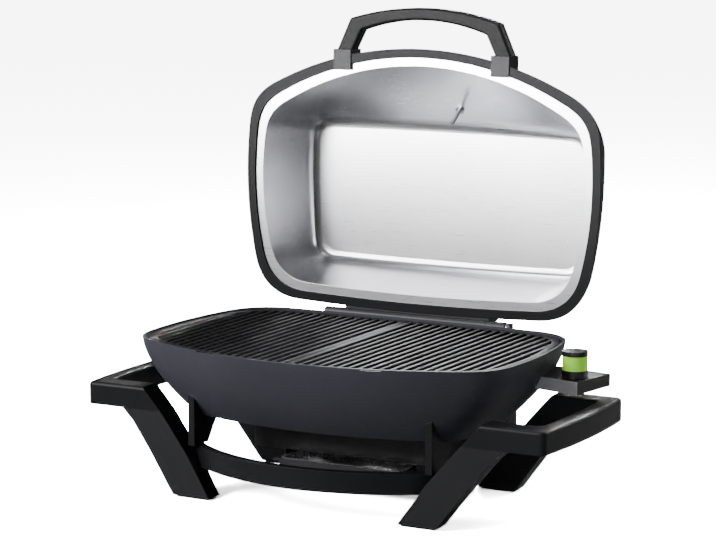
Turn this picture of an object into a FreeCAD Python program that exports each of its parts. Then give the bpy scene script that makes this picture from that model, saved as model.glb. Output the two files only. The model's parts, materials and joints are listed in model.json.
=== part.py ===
import FreeCAD, Part
import math
import os
import re
import Sketcher
from FreeCAD import Placement, Rotation, Vector

# Electric barbecue grill with a domed lid on a rear hinge, a bowed bowl and two carrying leg frames.
# Millimetres, +Z up, +X to the right of someone who stands in front, front towards -Y.
# The origin lies on the ground, under the middle of the whole grill as it stands with its lid open.

# Driving sizes. Heights count from the ground. Depths, whose names end in _y, count from a datum line
# across the grill, and frame_shift moves that line to the place that the origin asks for.
SIZES = {
    # rim outline, shared by the bowl and the lid
    "rim_height": 220.7,
    "rim_front_half": 280.2,
    "rim_back_half": 257.5,
    "rim_front_y": -225.4,
    "rim_back_y": 161.1,
    "rim_front_bow": 79.9,
    "rim_back_bow": 7.6,
    "rim_side_bow": 18.2,
    "rim_front_blend": 44.0,
    "rim_back_blend": 62.0,
    "control_share": 0.65,
    "side_share": 0.9,
    # bowl
    "bowl_floor_height": 112.0,
    "bowl_wall": 3.0,
    "bowl_floor_front_half": 206.7,
    "bowl_floor_back_half": 190.6,
    "bowl_floor_front_y": -156.7,
    "bowl_floor_back_y": 106.0,
    "bowl_floor_front_bow": 40.2,
    "bowl_floor_blend": 28.5,
    "bowl_curve": 1.66,
    "ledge_width": 9.0,
    "ledge_depth": 4.0,
    "drain_half_width": 60.0,
    "drain_half_depth": 26.0,
    "drain_y": 6.0,
    "post_radius": 6.0,
    "post_reach_x": 150.0,
    "post_reach_y": 62.0,
    # cooking grids
    "grid_thickness": 12.0,
    "grid_recess": 2.5,
    "grid_gap": 2.4,
    "grid_split": 1.2,
    "grid_frame": 9.0,
    "grid_bar": 5.0,
    "grid_pitch": 14.0,
    "grid_rib": 6.0,
    "grid_rib_drop": 3.0,
    # heat
    "reflector_height": 157.0,
    "reflector_sheet": 1.0,
    "reflector_gap": 5.0,
    "reflector_drain_radius": 22.0,
    "element_radius": 4.0,
    "element_height": 176.0,
    "element_run_pitch": 54.0,
    "element_back_y": 80.0,
    "element_left_inset": 76.8,
    "element_turn_inset": 105.8,
    "element_riser_inset": 67.8,
    "element_return_y": 48.0,
    "element_bend": 24.0,
    "terminal_offset": 18.2,
    "support_bar": 3.0,
    "support_overhang": 12.0,
    "support_spacing": 150.0,
    "flange_thick": 3.0,
    "flange_margin": 12.0,
    "flange_clear": 2.0,
    "flange_gap": 0.2,
    "flange_fit": 0.1,
    "probe_radius": 2.5,
    "probe_y": 64.0,
    "probe_length": 120.0,
    "pass_gap": 0.3,
    "terminal_depth": 12.0,
    # control box
    "control_base": 168.0,
    "control_top": 185.5,
    "control_cover": 5.0,
    "control_wall": 2.5,
    "control_front_inner_y": 19.0,
    "control_front_offset": 54.2,
    "control_front_outer_y": 0.0,
    "control_back_offset": 67.7,
    "control_back_outer_y": 82.0,
    "control_back_inner_y": 98.0,
    "control_inset": 23.8,
    "face_plate": 2.0,
    "face_proud": 1.0,
    "inlet_width": 24.0,
    "inlet_height": 10.0,
    "inlet_offset": 48.2,
    "inlet_front_y": 79.0,
    "inlet_back_y": 92.0,
    "inlet_socket": 7.0,
    "inlet_side": 3.0,
    "inlet_sheet": 2.0,
    # knob
    "knob_offset": 36.2,
    "knob_y": 32.0,
    "knob_radius": 18.0,
    "knob_skirt": 11.0,
    "knob_band": 20.0,
    "knob_cap": 6.5,
    "knob_gap": 0.4,
    "knob_core": 13.0,
    "spindle_radius": 3.0,
    "spindle_fit": 0.05,
    "spindle_lift": 0.5,
    "band_inset": 0.4,
    "switch_half": 11.0,
    "switch_height": 8.5,
    # leg frames
    "frame_half_width": 358.5,
    "frame_top": 149.0,
    "frame_height": 32.6,
    "frame_front_y": -155.0,
    "frame_back_y": 107.0,
    "frame_arm": 37.0,
    "frame_bar": 22.0,
    "frame_side_radius": 1100.0,
    "frame_corner": 9.0,
    "frame_inner_corner": 8.0,
    "frame_edge": 5.0,
    "leg_top_inner": 266.0,
    "leg_knee_inner": 236.5,
    "leg_knee_outer": 300.0,
    "thigh_height": 100.0,
    "thigh_inner": 222.0,
    "thigh_outer": 281.5,
    "shin_height": 60.0,
    "shin_inner": 188.0,
    "shin_outer": 249.5,
    "foot_inner": 148.0,
    "foot_outer": 207.5,
    "foot_depth": 30.0,
    "foot_lean": 15.0,
    "pad_thick": 3.0,
    "pad_margin": 4.0,
    # crossbars and bowl posts
    "front_bar_base": 42.0,
    "front_bar_height": 30.0,
    "front_bar_y": -203.0,
    "front_bar_radius": 301.0,
    "rear_bar_base": 62.0,
    "rear_bar_height": 28.0,
    "rear_bar_y": 150.0,
    "crossbar_thick": 13.0,
    "crossbar_reach": 192.0,
    "crossbar_window": 90.0,
    "prop_outer": 192.0,
    "prop_thick": 10.0,
    "prop_foot": 38.0,
    "prop_top": 62.0,
    "prop_shoulder_drop": 8.0,
    "prop_front_y": -152.0,
    "prop_back_y": 115.0,
    "prop_blank_top": 180.0,
    # under the bowl
    "shield_half_width": 157.0,
    "shield_front_y": -28.0,
    "shield_back_y": 74.0,
    "shield_base": 52.0,
    "shield_sheet": 2.0,
    "chute_mouth_half_width": 24.0,
    "chute_mouth_half_depth": 18.0,
    "chute_mouth_height": 60.0,
    "chute_sheet": 2.0,
    "chute_gap": 1.0,
    "rail_sheet": 2.0,
    "rail_gap": 0.3,
    "tray_half_width": 97.0,
    "tray_front_y": -62.0,
    "tray_back_y": 88.0,
    "tray_top": 46.0,
    "tray_height": 27.0,
    "tray_wall": 1.6,
    "tray_lip": 8.0,
    "tray_grip": 16.0,
    "tray_grip_half": 34.0,
    "tray_grip_thick": 4.0,
    "foil_wall": 0.8,
    "foil_gap": 1.0,
    "foil_rise": 2.2,
    "foil_rim": 2.0,
    # lid
    "lid_seat_gap": 0.3,
    "lid_height": 110.0,
    "lid_wall": 2.0,
    "lid_top_front_half": 246.0,
    "lid_top_back_half": 226.0,
    "lid_top_front_y": -105.0,
    "lid_top_back_y": 122.0,
    "lid_top_bow": 5.0,
    "lid_top_blend": 30.0,
    "lid_curve": 1.15,
    "lip_width": 13.0,
    "lip_thick": 3.0,
    "liner_sheet": 1.0,
    "liner_flange": 24.5,
    "liner_overlap": 6.0,
    "liner_depth": 104.0,
    "liner_panel_front_half": 231.0,
    "liner_panel_back_half": 224.0,
    "liner_panel_front_y": -110.0,
    "liner_panel_back_y": 109.0,
    "liner_panel_bow": 2.5,
    "liner_panel_blend": 30.0,
    "liner_round": 12.0,
    "open_angle": 91.75,
    # hinge
    "hinge_y": 169.8,
    "hinge_drop": 2.2,
    "barrel_radius": 7.5,
    "barrel_half": 118.0,
    "knuckle_gap": 0.5,
    "knuckle_width": 29.0,
    "pin_radius": 3.0,
    "pin_fit": 0.05,
    "pin_depth": 27.0,
    "pin_end_gap": 1.0,
    "pin_head_radius": 5.5,
    "pin_head": 2.5,
    "leaf_rise": 34.5,
    "leaf_thick": 4.5,
    "leaf_reach": 26.0,
    "leaf_lift": 1.0,
    "bracket_drop": 31.0,
    "web_reach": 30.0,
    "web_top_drop": 2.0,
    "stop_reach": 25.0,
    "stop_inboard": 14.0,
    "stop_gap": 0.3,
    "stop_set_off": 1.0,
    "stop_depth": 8.0,
    # lid handle
    "handle_foot_outer": 142.0,
    "handle_foot_inner": 115.0,
    "handle_foot_y": -220.0,
    "handle_corner_x": 121.0,
    "handle_corner_y": -266.0,
    "handle_inner_x": 101.0,
    "handle_inner_y": -248.5,
    "handle_outer_radius": 415.0,
    "handle_inner_radius": 300.0,
    "handle_base": 7.0,
    "handle_thick": 20.0,
    "handle_edge": 4.0,
    "bracket_margin": 1.0,
    "bracket_length": 40.0,
    "bracket_toe": 30.0,
    "bracket_toe_thick": 1.8,
    "bracket_rise": 30.0,
    "notch_gap": 0.6,
    "notch_margin": 2.0,
    # lid gauge
    "gauge_tilt": 37.0,
    "gauge_x": 30.0,
    "gauge_seat_y": -143.0,
    "gauge_seat_rise": 84.0,
    "gauge_radius": 21.0,
    "gauge_stand": 7.0,
    "gauge_sink": 12.0,
    "gauge_wall": 1.6,
    "gauge_face_drop": 4.2,
    "gauge_dial": 0.8,
    "gauge_lens": 1.2,
    "gauge_stem": 3.0,
    "gauge_stem_reach": 33.0,
    "gauge_nut_radius": 7.0,
    "gauge_nut": 4.0,
    "needle_thick": 0.8,
    "needle_gap": 0.4,
    "needle_width": 2.4,
    "needle_hub": 3.0,
    "needle_pivot": 1.0,
    "needle_tip_gap": 4.0,
    "pivot_depth": 3.0,
    "pivot_end_gap": 1.0,
    # fasteners
    "screw_radius": 4.5,
    "screw_head": 2.5,
    "small_screw_radius": 3.0,
    "small_screw_head": 1.6,
    "leg_screw_offset": 22.0,
    "leaf_screw_drop": 10.0,
    "bracket_screw_rise": 7.0,
    "bracket_screw_drop": 14.0,
}

DOC = FreeCAD.newDocument("barbecue_grill")
SHEET = DOC.addObject("Spreadsheet::Sheet", "Sizes")
WORD = re.compile(r"[a-z_][a-z_0-9]*")
SCRATCH_CELL = "D1"
KNOWN = {}
NODES = []

# How far a cutting tool reaches past what it cuts, and how near two places count as one.
BEYOND = 1.0
NEAR = 0.001


def fill_sheet():
    """Write each driving size and its alias, then the sizes that follow from them."""
    for row, (name, value) in enumerate(SIZES.items(), start=1):
        SHEET.set(f"A{row}", name)
        SHEET.set(f"B{row}", str(value))
        SHEET.setAlias(f"B{row}", name)
    derived = {
        "bowl_side": "rim_front_half + control_share * (rim_back_half - rim_front_half)"
        " + side_share * rim_side_bow",
        "element_left_x": "element_left_inset - bowl_side",
        "element_turn_x": "bowl_side - element_turn_inset",
        "element_riser_x": "bowl_side - element_riser_inset",
        "terminal_x": "bowl_side + terminal_offset",
        "control_inner_x": "bowl_side - control_inset",
        "control_front_outer_x": "bowl_side + control_front_offset",
        "control_back_outer_x": "bowl_side + control_back_offset",
        "inlet_x": "bowl_side + inlet_offset",
        "knob_x": "bowl_side + knob_offset",
        "hinge_height": "rim_height - hinge_drop",
        "lid_seat": "rim_height + lid_seat_gap",
        "lid_rear": "hinge_y + (lid_seat + lid_height - hinge_height) * sin(open_angle)"
        " - (hinge_y - lid_top_front_y) * cos(open_angle)",
        "frame_shift": "-(rim_front_y + lid_rear) / 2",
        "grid_top": "rim_height - grid_recess",
        "grid_base": "grid_top - grid_thickness",
        "frame_base": "frame_top - frame_height",
        "knob_base": "control_top + knob_gap",
        "tray_base": "tray_top - tray_height",
    }
    for row, (name, formula) in enumerate(derived.items(), start=len(SIZES) + 1):
        SHEET.set(f"A{row}", name)
        SHEET.set(f"B{row}", "=" + formula)
        SHEET.setAlias(f"B{row}", name)
        SIZES[name] = formula
    SHEET.recompute()


def size(formula):
    """The number that a formula of the sheet's names comes to."""
    formula = str(formula)
    if formula not in KNOWN:
        SHEET.set(SCRATCH_CELL, f"={formula}")
        SHEET.recompute()
        KNOWN[formula] = float(SHEET.get(SCRATCH_CELL))
    return KNOWN[formula]


def bound(formula):
    """A formula as an object's expression has to spell it, with the sheet's name before each size."""
    return WORD.sub(lambda found: f"Sizes.{found[0]}" if found[0] in SIZES else found[0], str(formula))


def depth(formula):
    """A depth from the datum line, as a depth from the origin."""
    return f"({formula}) + frame_shift"


def point(x, y, z):
    """A point given by three formulas, with its depth counted from the datum line."""
    return Vector(size(x), size(depth(y)), size(z))


def node(label, thing, placement=None):
    """Name a finished sub-part, so that it is checked and written."""
    thing.Label = label
    if placement is not None:
        thing.Placement = placement
    NODES.append(thing)
    return thing


# Building blocks


def box(name, x0, x1, y0, y1, z0, z1):
    """A block between two corners given as formulas."""
    made = DOC.addObject("Part::Box", name)
    made.setExpression("Length", bound(f"({x1}) - ({x0})"))
    made.setExpression("Width", bound(f"({y1}) - ({y0})"))
    made.setExpression("Height", bound(f"({z1}) - ({z0})"))
    made.setExpression("Placement.Base.x", bound(x0))
    made.setExpression("Placement.Base.y", bound(depth(y0)))
    made.setExpression("Placement.Base.z", bound(z0))
    return made


def rod(name, x, y, z, radius, length, along="z"):
    """A cylinder from a point, along one axis."""
    turn = {"x": Rotation(Vector(0, 1, 0), 90), "y": Rotation(Vector(1, 0, 0), -90), "z": Rotation()}
    made = DOC.addObject("Part::Cylinder", name)
    made.Placement = Placement(Vector(), turn[along])
    made.setExpression("Radius", bound(radius))
    made.setExpression("Height", bound(length))
    made.setExpression("Placement.Base.x", bound(x))
    made.setExpression("Placement.Base.y", bound(depth(y)))
    made.setExpression("Placement.Base.z", bound(z))
    return made


def fuse(name, pieces):
    """Several pieces as one solid."""
    made = DOC.addObject("Part::MultiFuse", name)
    made.Shapes = pieces
    made.Refine = True
    return made


def cut(name, base, tool):
    """One piece less another."""
    made = DOC.addObject("Part::Cut", name)
    made.Base = base
    made.Tool = tool
    return made


def group(name, pieces):
    """Separate solids that share a node."""
    made = DOC.addObject("Part::Compound", name)
    made.Links = pieces
    return made


def solid(name, shape):
    """A piece whose shape no feature gives, such as a bowed and domed shell."""
    made = DOC.addObject("Part::Feature", name)
    made.Shape = shape
    return made


def arc_middle(start, end, radius):
    """The middle of an arc from start to end. A positive radius bulges to the right of the way there."""
    chord = end - start
    half = chord.Length / 2
    reach = abs(radius)
    sagitta = reach - math.sqrt(max(reach * reach - half * half, 0.0))
    right = Vector(chord.y, -chord.x, 0).normalize()
    return (start + end) * 0.5 + right * math.copysign(sagitta, radius)


def plate(name, plane, corners, low, high):
    """A sketched outline on a base plane, padded from low to high.

    Each corner is two formulas, and a third gives the radius of the arc that leaves it.
    On the XY plane they are x and y, on XZ x and z, and on YZ y and z.
    """
    body = DOC.addObject("PartDesign::Body", name)
    roles = {item.Role: item for item in body.Origin.OriginFeatures}
    sketch = body.newObject("Sketcher::SketchObject", name + "_outline")
    sketch.AttachmentSupport = (roles[plane + "_Plane"], [""])
    sketch.MapMode = "FlatFace"
    flat = []
    for corner in corners:
        across, along = corner[0], corner[1]
        if plane == "XY":
            along = depth(along)
        if plane == "YZ":
            across = depth(across)
        flat.append((across, along))
    places = [Vector(size(across), size(along), 0) for across, along in flat]
    for index, corner in enumerate(corners):
        start = places[index]
        end = places[(index + 1) % len(places)]
        if len(corner) == 3:
            radius = size(corner[2])
            middle = arc_middle(start, end, radius)
            turning = (start, middle, end) if radius > 0 else (end, middle, start)
            sketch.addGeometry(Part.Arc(*turning), False)
        else:
            sketch.addGeometry(Part.LineSegment(start, end), False)
    ends = [order_of_ends(sketch.Geometry[index], places[index]) for index in range(len(places))]
    for index, corner in enumerate(corners):
        following = (index + 1) % len(places)
        first, last = ends[index]
        sketch.addConstraint(
            Sketcher.Constraint("Coincident", index, last, following, ends[following][0])
        )
        bind_distance(sketch, "DistanceX", index, first, flat[index][0], places[index].x)
        bind_distance(sketch, "DistanceY", index, first, flat[index][1], places[index].y)
        if len(corner) == 3:
            value = abs(size(corner[2]))
            number = sketch.addConstraint(Sketcher.Constraint("Radius", index, value))
            sketch.setExpression(f"Constraints[{number}]", bound(f"abs({corner[2]})"))
    pad = body.newObject("PartDesign::Pad", name + "_pad")
    pad.Profile = sketch
    pad.setExpression("Length", bound(f"({high}) - ({low})"))
    if plane == "XY":
        sketch.setExpression("AttachmentOffset.Base.z", bound(low))
    elif plane == "XZ":
        pad.Reversed = True
        sketch.setExpression("AttachmentOffset.Base.z", bound(f"-({depth(low)})"))
    else:
        sketch.setExpression("AttachmentOffset.Base.z", bound(low))
    body.Tip = pad
    return body


def order_of_ends(geometry, start):
    """Which of an edge's two ends (1 or 2) lies at start, and the other one."""
    return (1, 2) if (geometry.StartPoint - start).Length < NEAR else (2, 1)


def bind_distance(sketch, kind, index, end, formula, value):
    """Hold one coordinate of an edge's end at a formula."""
    number = sketch.addConstraint(Sketcher.Constraint(kind, -1, 1, index, end, value))
    sketch.setExpression(f"Constraints[{number}]", bound(formula))


# Bowed outlines


# How much a corner's blend shrinks as the outline draws in, its least size, and how full its curve is.
BLEND_SHRINK = 0.4
LEAST_BLEND = 8.0
FULLNESS = 0.42


class Outline:
    """A four-sided outline with bowed sides and blended corners."""

    def __init__(self, front_half, back_half, front_y, back_y, bows, blends):
        self.front_half = front_half
        self.back_half = back_half
        self.front_y = front_y
        self.back_y = back_y
        self.bows = bows
        self.blends = blends

    def inset(self, inward):
        """The same outline, drawn in on every side."""
        blends = [max(blend - BLEND_SHRINK * inward, LEAST_BLEND) for blend in self.blends]
        return Outline(
            self.front_half - inward,
            self.back_half - inward,
            self.front_y + inward,
            self.back_y - inward,
            self.bows,
            blends,
        )

    def towards(self, other, share):
        """The outline that lies a share of the way to another one."""

        def mix(own, others):
            return own + (others - own) * share

        return Outline(
            mix(self.front_half, other.front_half),
            mix(self.back_half, other.back_half),
            mix(self.front_y, other.front_y),
            mix(self.back_y, other.back_y),
            [mix(*pair) for pair in zip(self.bows, other.bows)],
            [mix(*pair) for pair in zip(self.blends, other.blends)],
        )

    def wire(self, height):
        """The closed outline at a height."""
        front_bow, side_bow, back_bow = self.bows
        front_blend, back_blend = self.blends
        shift = size("frame_shift")
        front_corner = self.front_y + front_bow + shift
        back_corner = self.back_y - back_bow + shift
        corners = [
            Vector(-self.front_half, front_corner, height),
            Vector(self.front_half, front_corner, height),
            Vector(self.back_half, back_corner, height),
            Vector(-self.back_half, back_corner, height),
        ]
        bows = [front_bow, side_bow, back_bow, side_bow]
        cuts = [front_blend, front_blend, back_blend, back_blend]
        sides = []
        for index, bow in enumerate(bows):
            following = (index + 1) % 4
            ends = corners[index], corners[following]
            sides.append(bowed_side(*ends, bow, cuts[index], cuts[following]))
        edges = []
        for index, side in enumerate(sides):
            edges.append(side[0])
            edges.append(blend_between(side, sides[(index + 1) % 4]))
        return Part.Wire(edges)


def bowed_side(start, end, bow, start_cut, end_cut):
    """An arc that bulges to the right of the way from start to end, cut back at both ends.

    It gives the edge, its two ends and the directions there.
    """
    way = (end - start).normalize()
    right = Vector(way.y, -way.x, 0)
    half = (end - start).Length / 2
    radius = (half * half + bow * bow) / (2 * bow)
    centre = (start + end) * 0.5 + right * (bow - radius)
    spread = math.asin(half / radius)

    def place(angle):
        return centre + right * (radius * math.cos(angle)) + way * (radius * math.sin(angle))

    def heading(angle):
        return way * math.cos(angle) - right * math.sin(angle)

    low = start_cut / radius - spread
    high = spread - end_cut / radius
    edge = Part.Arc(place(low), place((low + high) / 2), place(high)).toShape()
    return edge, place(low), heading(low), place(high), heading(high)


def blend_between(side, following):
    """A corner curve that runs on smoothly from one side into the next."""
    _, _, _, start, leaving = side
    _, end, arriving, _, _ = following
    pull = (end - start).Length * FULLNESS
    curve = Part.BezierCurve()
    curve.setPoles([start, start + leaving * pull, end - arriving * pull, end])
    return curve.toShape()


def rim_outline():
    """The outline where the bowl and the lid meet."""
    return Outline(
        size("rim_front_half"),
        size("rim_back_half"),
        size("rim_front_y"),
        size("rim_back_y"),
        [size("rim_front_bow"), size("rim_side_bow"), size("rim_back_bow")],
        [size("rim_front_blend"), size("rim_back_blend")],
    )


def floor_outline():
    """The outline of the bowl's floor."""
    return Outline(
        size("bowl_floor_front_half"),
        size("bowl_floor_back_half"),
        size("bowl_floor_front_y"),
        size("bowl_floor_back_y"),
        [size("bowl_floor_front_bow"), size("rim_side_bow"), size("rim_back_bow")],
        [size("bowl_floor_blend"), size("bowl_floor_blend")],
    )


def lid_top_outline():
    """The outline of the flat top of the lid."""
    return Outline(
        size("lid_top_front_half"),
        size("lid_top_back_half"),
        size("lid_top_front_y"),
        size("lid_top_back_y"),
        [size("lid_top_bow")] * 3,
        [size("lid_top_blend")] * 2,
    )


def panel_outline():
    """The outline of the flat panel inside the lid."""
    return Outline(
        size("liner_panel_front_half"),
        size("liner_panel_back_half"),
        size("liner_panel_front_y"),
        size("liner_panel_back_y"),
        [size("liner_panel_bow")] * 3,
        [size("liner_panel_blend")] * 2,
    )


def loft(wires, ruled=False):
    """A solid through closed outlines."""
    return Part.makeLoft(wires, True, ruled)


def slab(outline, low, high):
    """An outline raised straight up from one height to another."""
    face = Part.Face(outline.wire(low))
    return face.extrude(Vector(0, 0, high - low))


# Bowl


BOWL_STEPS = [0.0, 0.22, 0.45, 0.66, 0.85, 1.0]


def bowl_section(height, inward):
    """The bowl's outline at a height between its rim and its floor."""
    rim = size("rim_height")
    share = ((rim - height) / (rim - size("bowl_floor_height"))) ** size("bowl_curve")
    return rim_outline().towards(floor_outline(), share).inset(inward)


def bowl_body(inward, lift):
    """The space inside the bowl's outer skin, or inside its wall."""
    rim = size("rim_height")
    floor = size("bowl_floor_height")
    wires = []
    for step in BOWL_STEPS:
        section = bowl_section(rim - (rim - floor) * step, inward)
        wires.append(section.wire(rim - (rim - floor - lift) * step))
    return loft(wires)


def make_bowl():
    """The bowl: one cast shell with a ledge for the grids and posts for the reflector."""
    outer = bowl_body(0.0, 0.0)
    inner = bowl_body(size("bowl_wall"), size("bowl_wall"))
    shell = outer.cut(inner)
    ledge_top = size("grid_base")
    ledge_low = ledge_top - size("ledge_depth")
    wall = size("bowl_wall")
    ledge = slab(bowl_section(ledge_top, wall / 2), ledge_low, ledge_top)
    ledge = ledge.common(outer)
    ledge = ledge.cut(slab(bowl_section(ledge_top, wall + size("ledge_width")), ledge_low, ledge_top))
    parts = [ledge]
    for side in (-1, 1):
        for end in (-1, 1):
            middle = f"drain_y + {end} * post_reach_y"
            foot = point(side * size("post_reach_x"), middle, "bowl_floor_height")
            height = size("reflector_height - bowl_floor_height")
            parts.append(Part.makeCylinder(size("post_radius"), height, foot))
    bowl = shell.multiFuse(parts)
    drain = Part.makeBox(
        size("2 * drain_half_width"),
        size("2 * drain_half_depth"),
        size("2 * bowl_wall"),
        point("-drain_half_width", "drain_y - drain_half_depth", "bowl_floor_height - bowl_wall / 2"),
    )
    bowl = bowl.cut(drain)
    for hole_y, radius in (
        ("element_back_y", "element_radius + pass_gap"),
        ("element_return_y", "element_radius + pass_gap"),
        ("probe_y", "probe_radius + pass_gap"),
    ):
        start = point("element_riser_x", hole_y, "element_height")
        length = size("terminal_x - element_riser_x")
        bowl = bowl.cut(Part.makeCylinder(size(radius), length, start, Vector(1, 0, 0)))
    for side in (-1, 1):
        near = size("handle_foot_inner - bracket_margin - notch_gap")
        width = size("handle_foot_outer - handle_foot_inner + 2 * (bracket_margin + notch_gap)")
        left = near if side > 0 else -near - width
        front = size(depth("handle_foot_y - notch_margin"))
        corner = Vector(left, front, size("lid_seat - bracket_toe_thick - notch_gap"))
        length = size("bracket_toe + 2 * notch_margin")
        bowl = bowl.cut(Part.makeBox(width, length, size("bracket_toe_thick + notch_gap"), corner))
    node("bowl", solid("bowl", bowl))
    return solid("bowl_envelope", outer)


# Where the grids' cross ribs lie, as shares of the way from front to back.
RIB_PLACES = (0.22, 0.41, 0.6, 0.79)


def make_grid(label, side):
    """One cast cooking grid: a frame, bars from front to back and ribs across them."""
    base = size("grid_base")
    top = size("grid_top")
    gap = size("bowl_wall + grid_gap")
    rim = bowl_section(base, gap)
    whole = slab(rim, base, top)
    opening = slab(rim.inset(size("grid_frame")), base, top)
    split = size("grid_split / 2")
    bar = size("grid_bar")
    reach = size("rim_front_half")
    front = size(depth("rim_front_y"))
    length = size("rim_back_y - rim_front_y")
    left = split if side > 0 else -reach
    half = Part.makeBox(reach - split, length, top - base, Vector(left, front, base))
    frame = whole.cut(opening).common(half)
    inner_edge = split if side > 0 else -split - size("grid_frame")
    bars = [Part.makeBox(size("grid_frame"), length, top - base, Vector(inner_edge, front, base))]
    pitch = size("grid_pitch")
    first = split + size("grid_frame") + pitch - bar
    count = int((reach - first) / pitch)
    for index in range(count):
        near = first + index * pitch
        start = Vector(near if side > 0 else -near - bar, front, base)
        bars.append(Part.makeBox(bar, length, top - base, start))
    rib = size("grid_rib")
    drop = size("grid_rib_drop")
    for share in RIB_PLACES:
        start = Vector(left, front + length * share - rib / 2, base)
        bars.append(Part.makeBox(reach - split, rib, top - base - drop, start))
    lattice = bars[0].multiFuse(bars[1:]).common(slab(rim.inset(size("grid_frame / 2")), base, top))
    node(label, solid(label, frame.fuse(lattice).removeSplitter()))


# Heat


def make_reflector():
    """The pressed sheet that throws the heat up and lets the fat run to the drain."""
    low = size("reflector_height")
    sheet = size("reflector_sheet")
    section = bowl_section(low, size("bowl_wall + reflector_gap"))
    pan = slab(section, low, low + sheet)
    start = point(0, "drain_y", "reflector_height - reflector_sheet")
    pan = pan.cut(Part.makeCylinder(size("reflector_drain_radius"), 4 * sheet, start))
    node("heat_reflector", solid("heat_reflector", pan))


def bent_tube(corners, bend, radius):
    """A tube through corners, with an arc of one bend radius at each of them."""
    edges = []
    here = corners[0]
    for before, corner, after in zip(corners, corners[1:], corners[2:]):
        arriving = (corner - before).normalize()
        leaving = (after - corner).normalize()
        turn = arriving.getAngle(leaving)
        back = bend * math.tan(turn / 2)
        start = corner - arriving * back
        end = corner + leaving * back
        inward = (leaving - arriving).normalize()
        middle = corner + inward * (bend / math.cos(turn / 2) - bend)
        edges.append(Part.LineSegment(here, start).toShape())
        edges.append(Part.Arc(start, middle, end).toShape())
        here = end
    edges.append(Part.LineSegment(here, corners[-1]).toShape())
    path = Part.Wire(edges)
    ring = Part.Wire([Part.Circle(corners[0], corners[1] - corners[0], radius).toShape()])
    tube = path.makePipeShell([ring], True, True)
    wanted = math.pi * radius**2 * path.Length
    print("tube volume", round(tube.Volume), "section times length", round(wanted))
    return tube


ELEMENT_RUNS = 4


def make_element():
    """The sheathed heating element: four runs across the bowl, with both ends at the control box."""
    runs = [f"element_back_y - {index} * element_run_pitch" for index in range(ELEMENT_RUNS)]
    stops = [
        ("terminal_x", runs[0]),
        ("element_left_x", runs[0]),
        ("element_left_x", runs[1]),
        ("element_turn_x", runs[1]),
        ("element_turn_x", runs[2]),
        ("element_left_x", runs[2]),
        ("element_left_x", runs[3]),
        ("element_riser_x", runs[3]),
        ("element_riser_x", "element_return_y"),
        ("terminal_x", "element_return_y"),
    ]
    corners = [point(x, y, "element_height") for x, y in stops]
    tube = bent_tube(corners, size("element_bend"), size("element_radius"))
    node("heating_element", solid("heating_element", tube))
    bars = []
    for index in (-1, 0, 1):
        middle = f"{index} * support_spacing"
        name = f"element_support_{index + 1}"
        bars.append(
            box(
                name,
                f"{middle} - support_bar / 2",
                f"{middle} + support_bar / 2",
                f"element_back_y - {ELEMENT_RUNS - 1} * element_run_pitch - support_overhang",
                "element_back_y + support_overhang",
                "reflector_height + reflector_sheet",
                "element_height - element_radius",
            )
        )
    node("element_supports", group("element_supports", bars))
    node(
        "temperature_probe",
        rod("temperature_probe", "terminal_x - probe_length", "probe_y", "element_height", "probe_radius",
            "probe_length", "x"),
    )


def make_flange():
    """The plate that seals the element's ends where they leave the bowl."""
    block = box(
        "flange_block",
        "element_riser_x + element_bend + flange_clear",
        "control_front_outer_x",
        "element_return_y - flange_margin",
        "element_back_y + flange_margin",
        "element_height - flange_margin",
        "element_height + flange_margin",
    )
    seat = size("bowl_wall + flange_gap")
    inset = seat + size("flange_thick")
    inner = solid("flange_inside", bowl_body(inset, inset))
    outer = solid("flange_outside", bowl_body(seat, seat))
    sheet = DOC.addObject("Part::Common", "flange_sheet")
    sheet.Base = cut("flange_band", block, inner)
    sheet.Tool = outer
    holes = fuse(
        "flange_holes",
        [
            rod("flange_hole_a", "element_riser_x", "element_back_y", "element_height",
                "element_radius + flange_fit", "terminal_x - element_riser_x", "x"),
            rod("flange_hole_b", "element_riser_x", "element_return_y", "element_height",
                "element_radius + flange_fit", "terminal_x - element_riser_x", "x"),
            rod("flange_hole_c", "element_riser_x", "probe_y", "element_height",
                "probe_radius + flange_fit", "terminal_x - element_riser_x", "x"),
        ],
    )
    node("element_flange", cut("element_flange", sheet, holes))


# Control box and knob


CONTROL_CORNERS = [
    ("control_inner_x", "control_front_inner_y"),
    ("control_front_outer_x", "control_front_outer_y"),
    ("control_back_outer_x", "control_back_outer_y"),
    ("control_inner_x", "control_back_inner_y"),
]


def control_corners(inward):
    """The control box's outline in plan, drawn in on its front, outer and back sides."""
    (ax, ay), (bx, by), (cx, cy), (dx, dy) = CONTROL_CORNERS
    return [
        (ax, f"{ay} + {inward}"),
        (f"{bx} - {inward}", f"{by} + {inward}"),
        (f"{cx} - {inward}", f"{cy} - {inward}"),
        (dx, f"{dy} - {inward}"),
    ]


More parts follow.
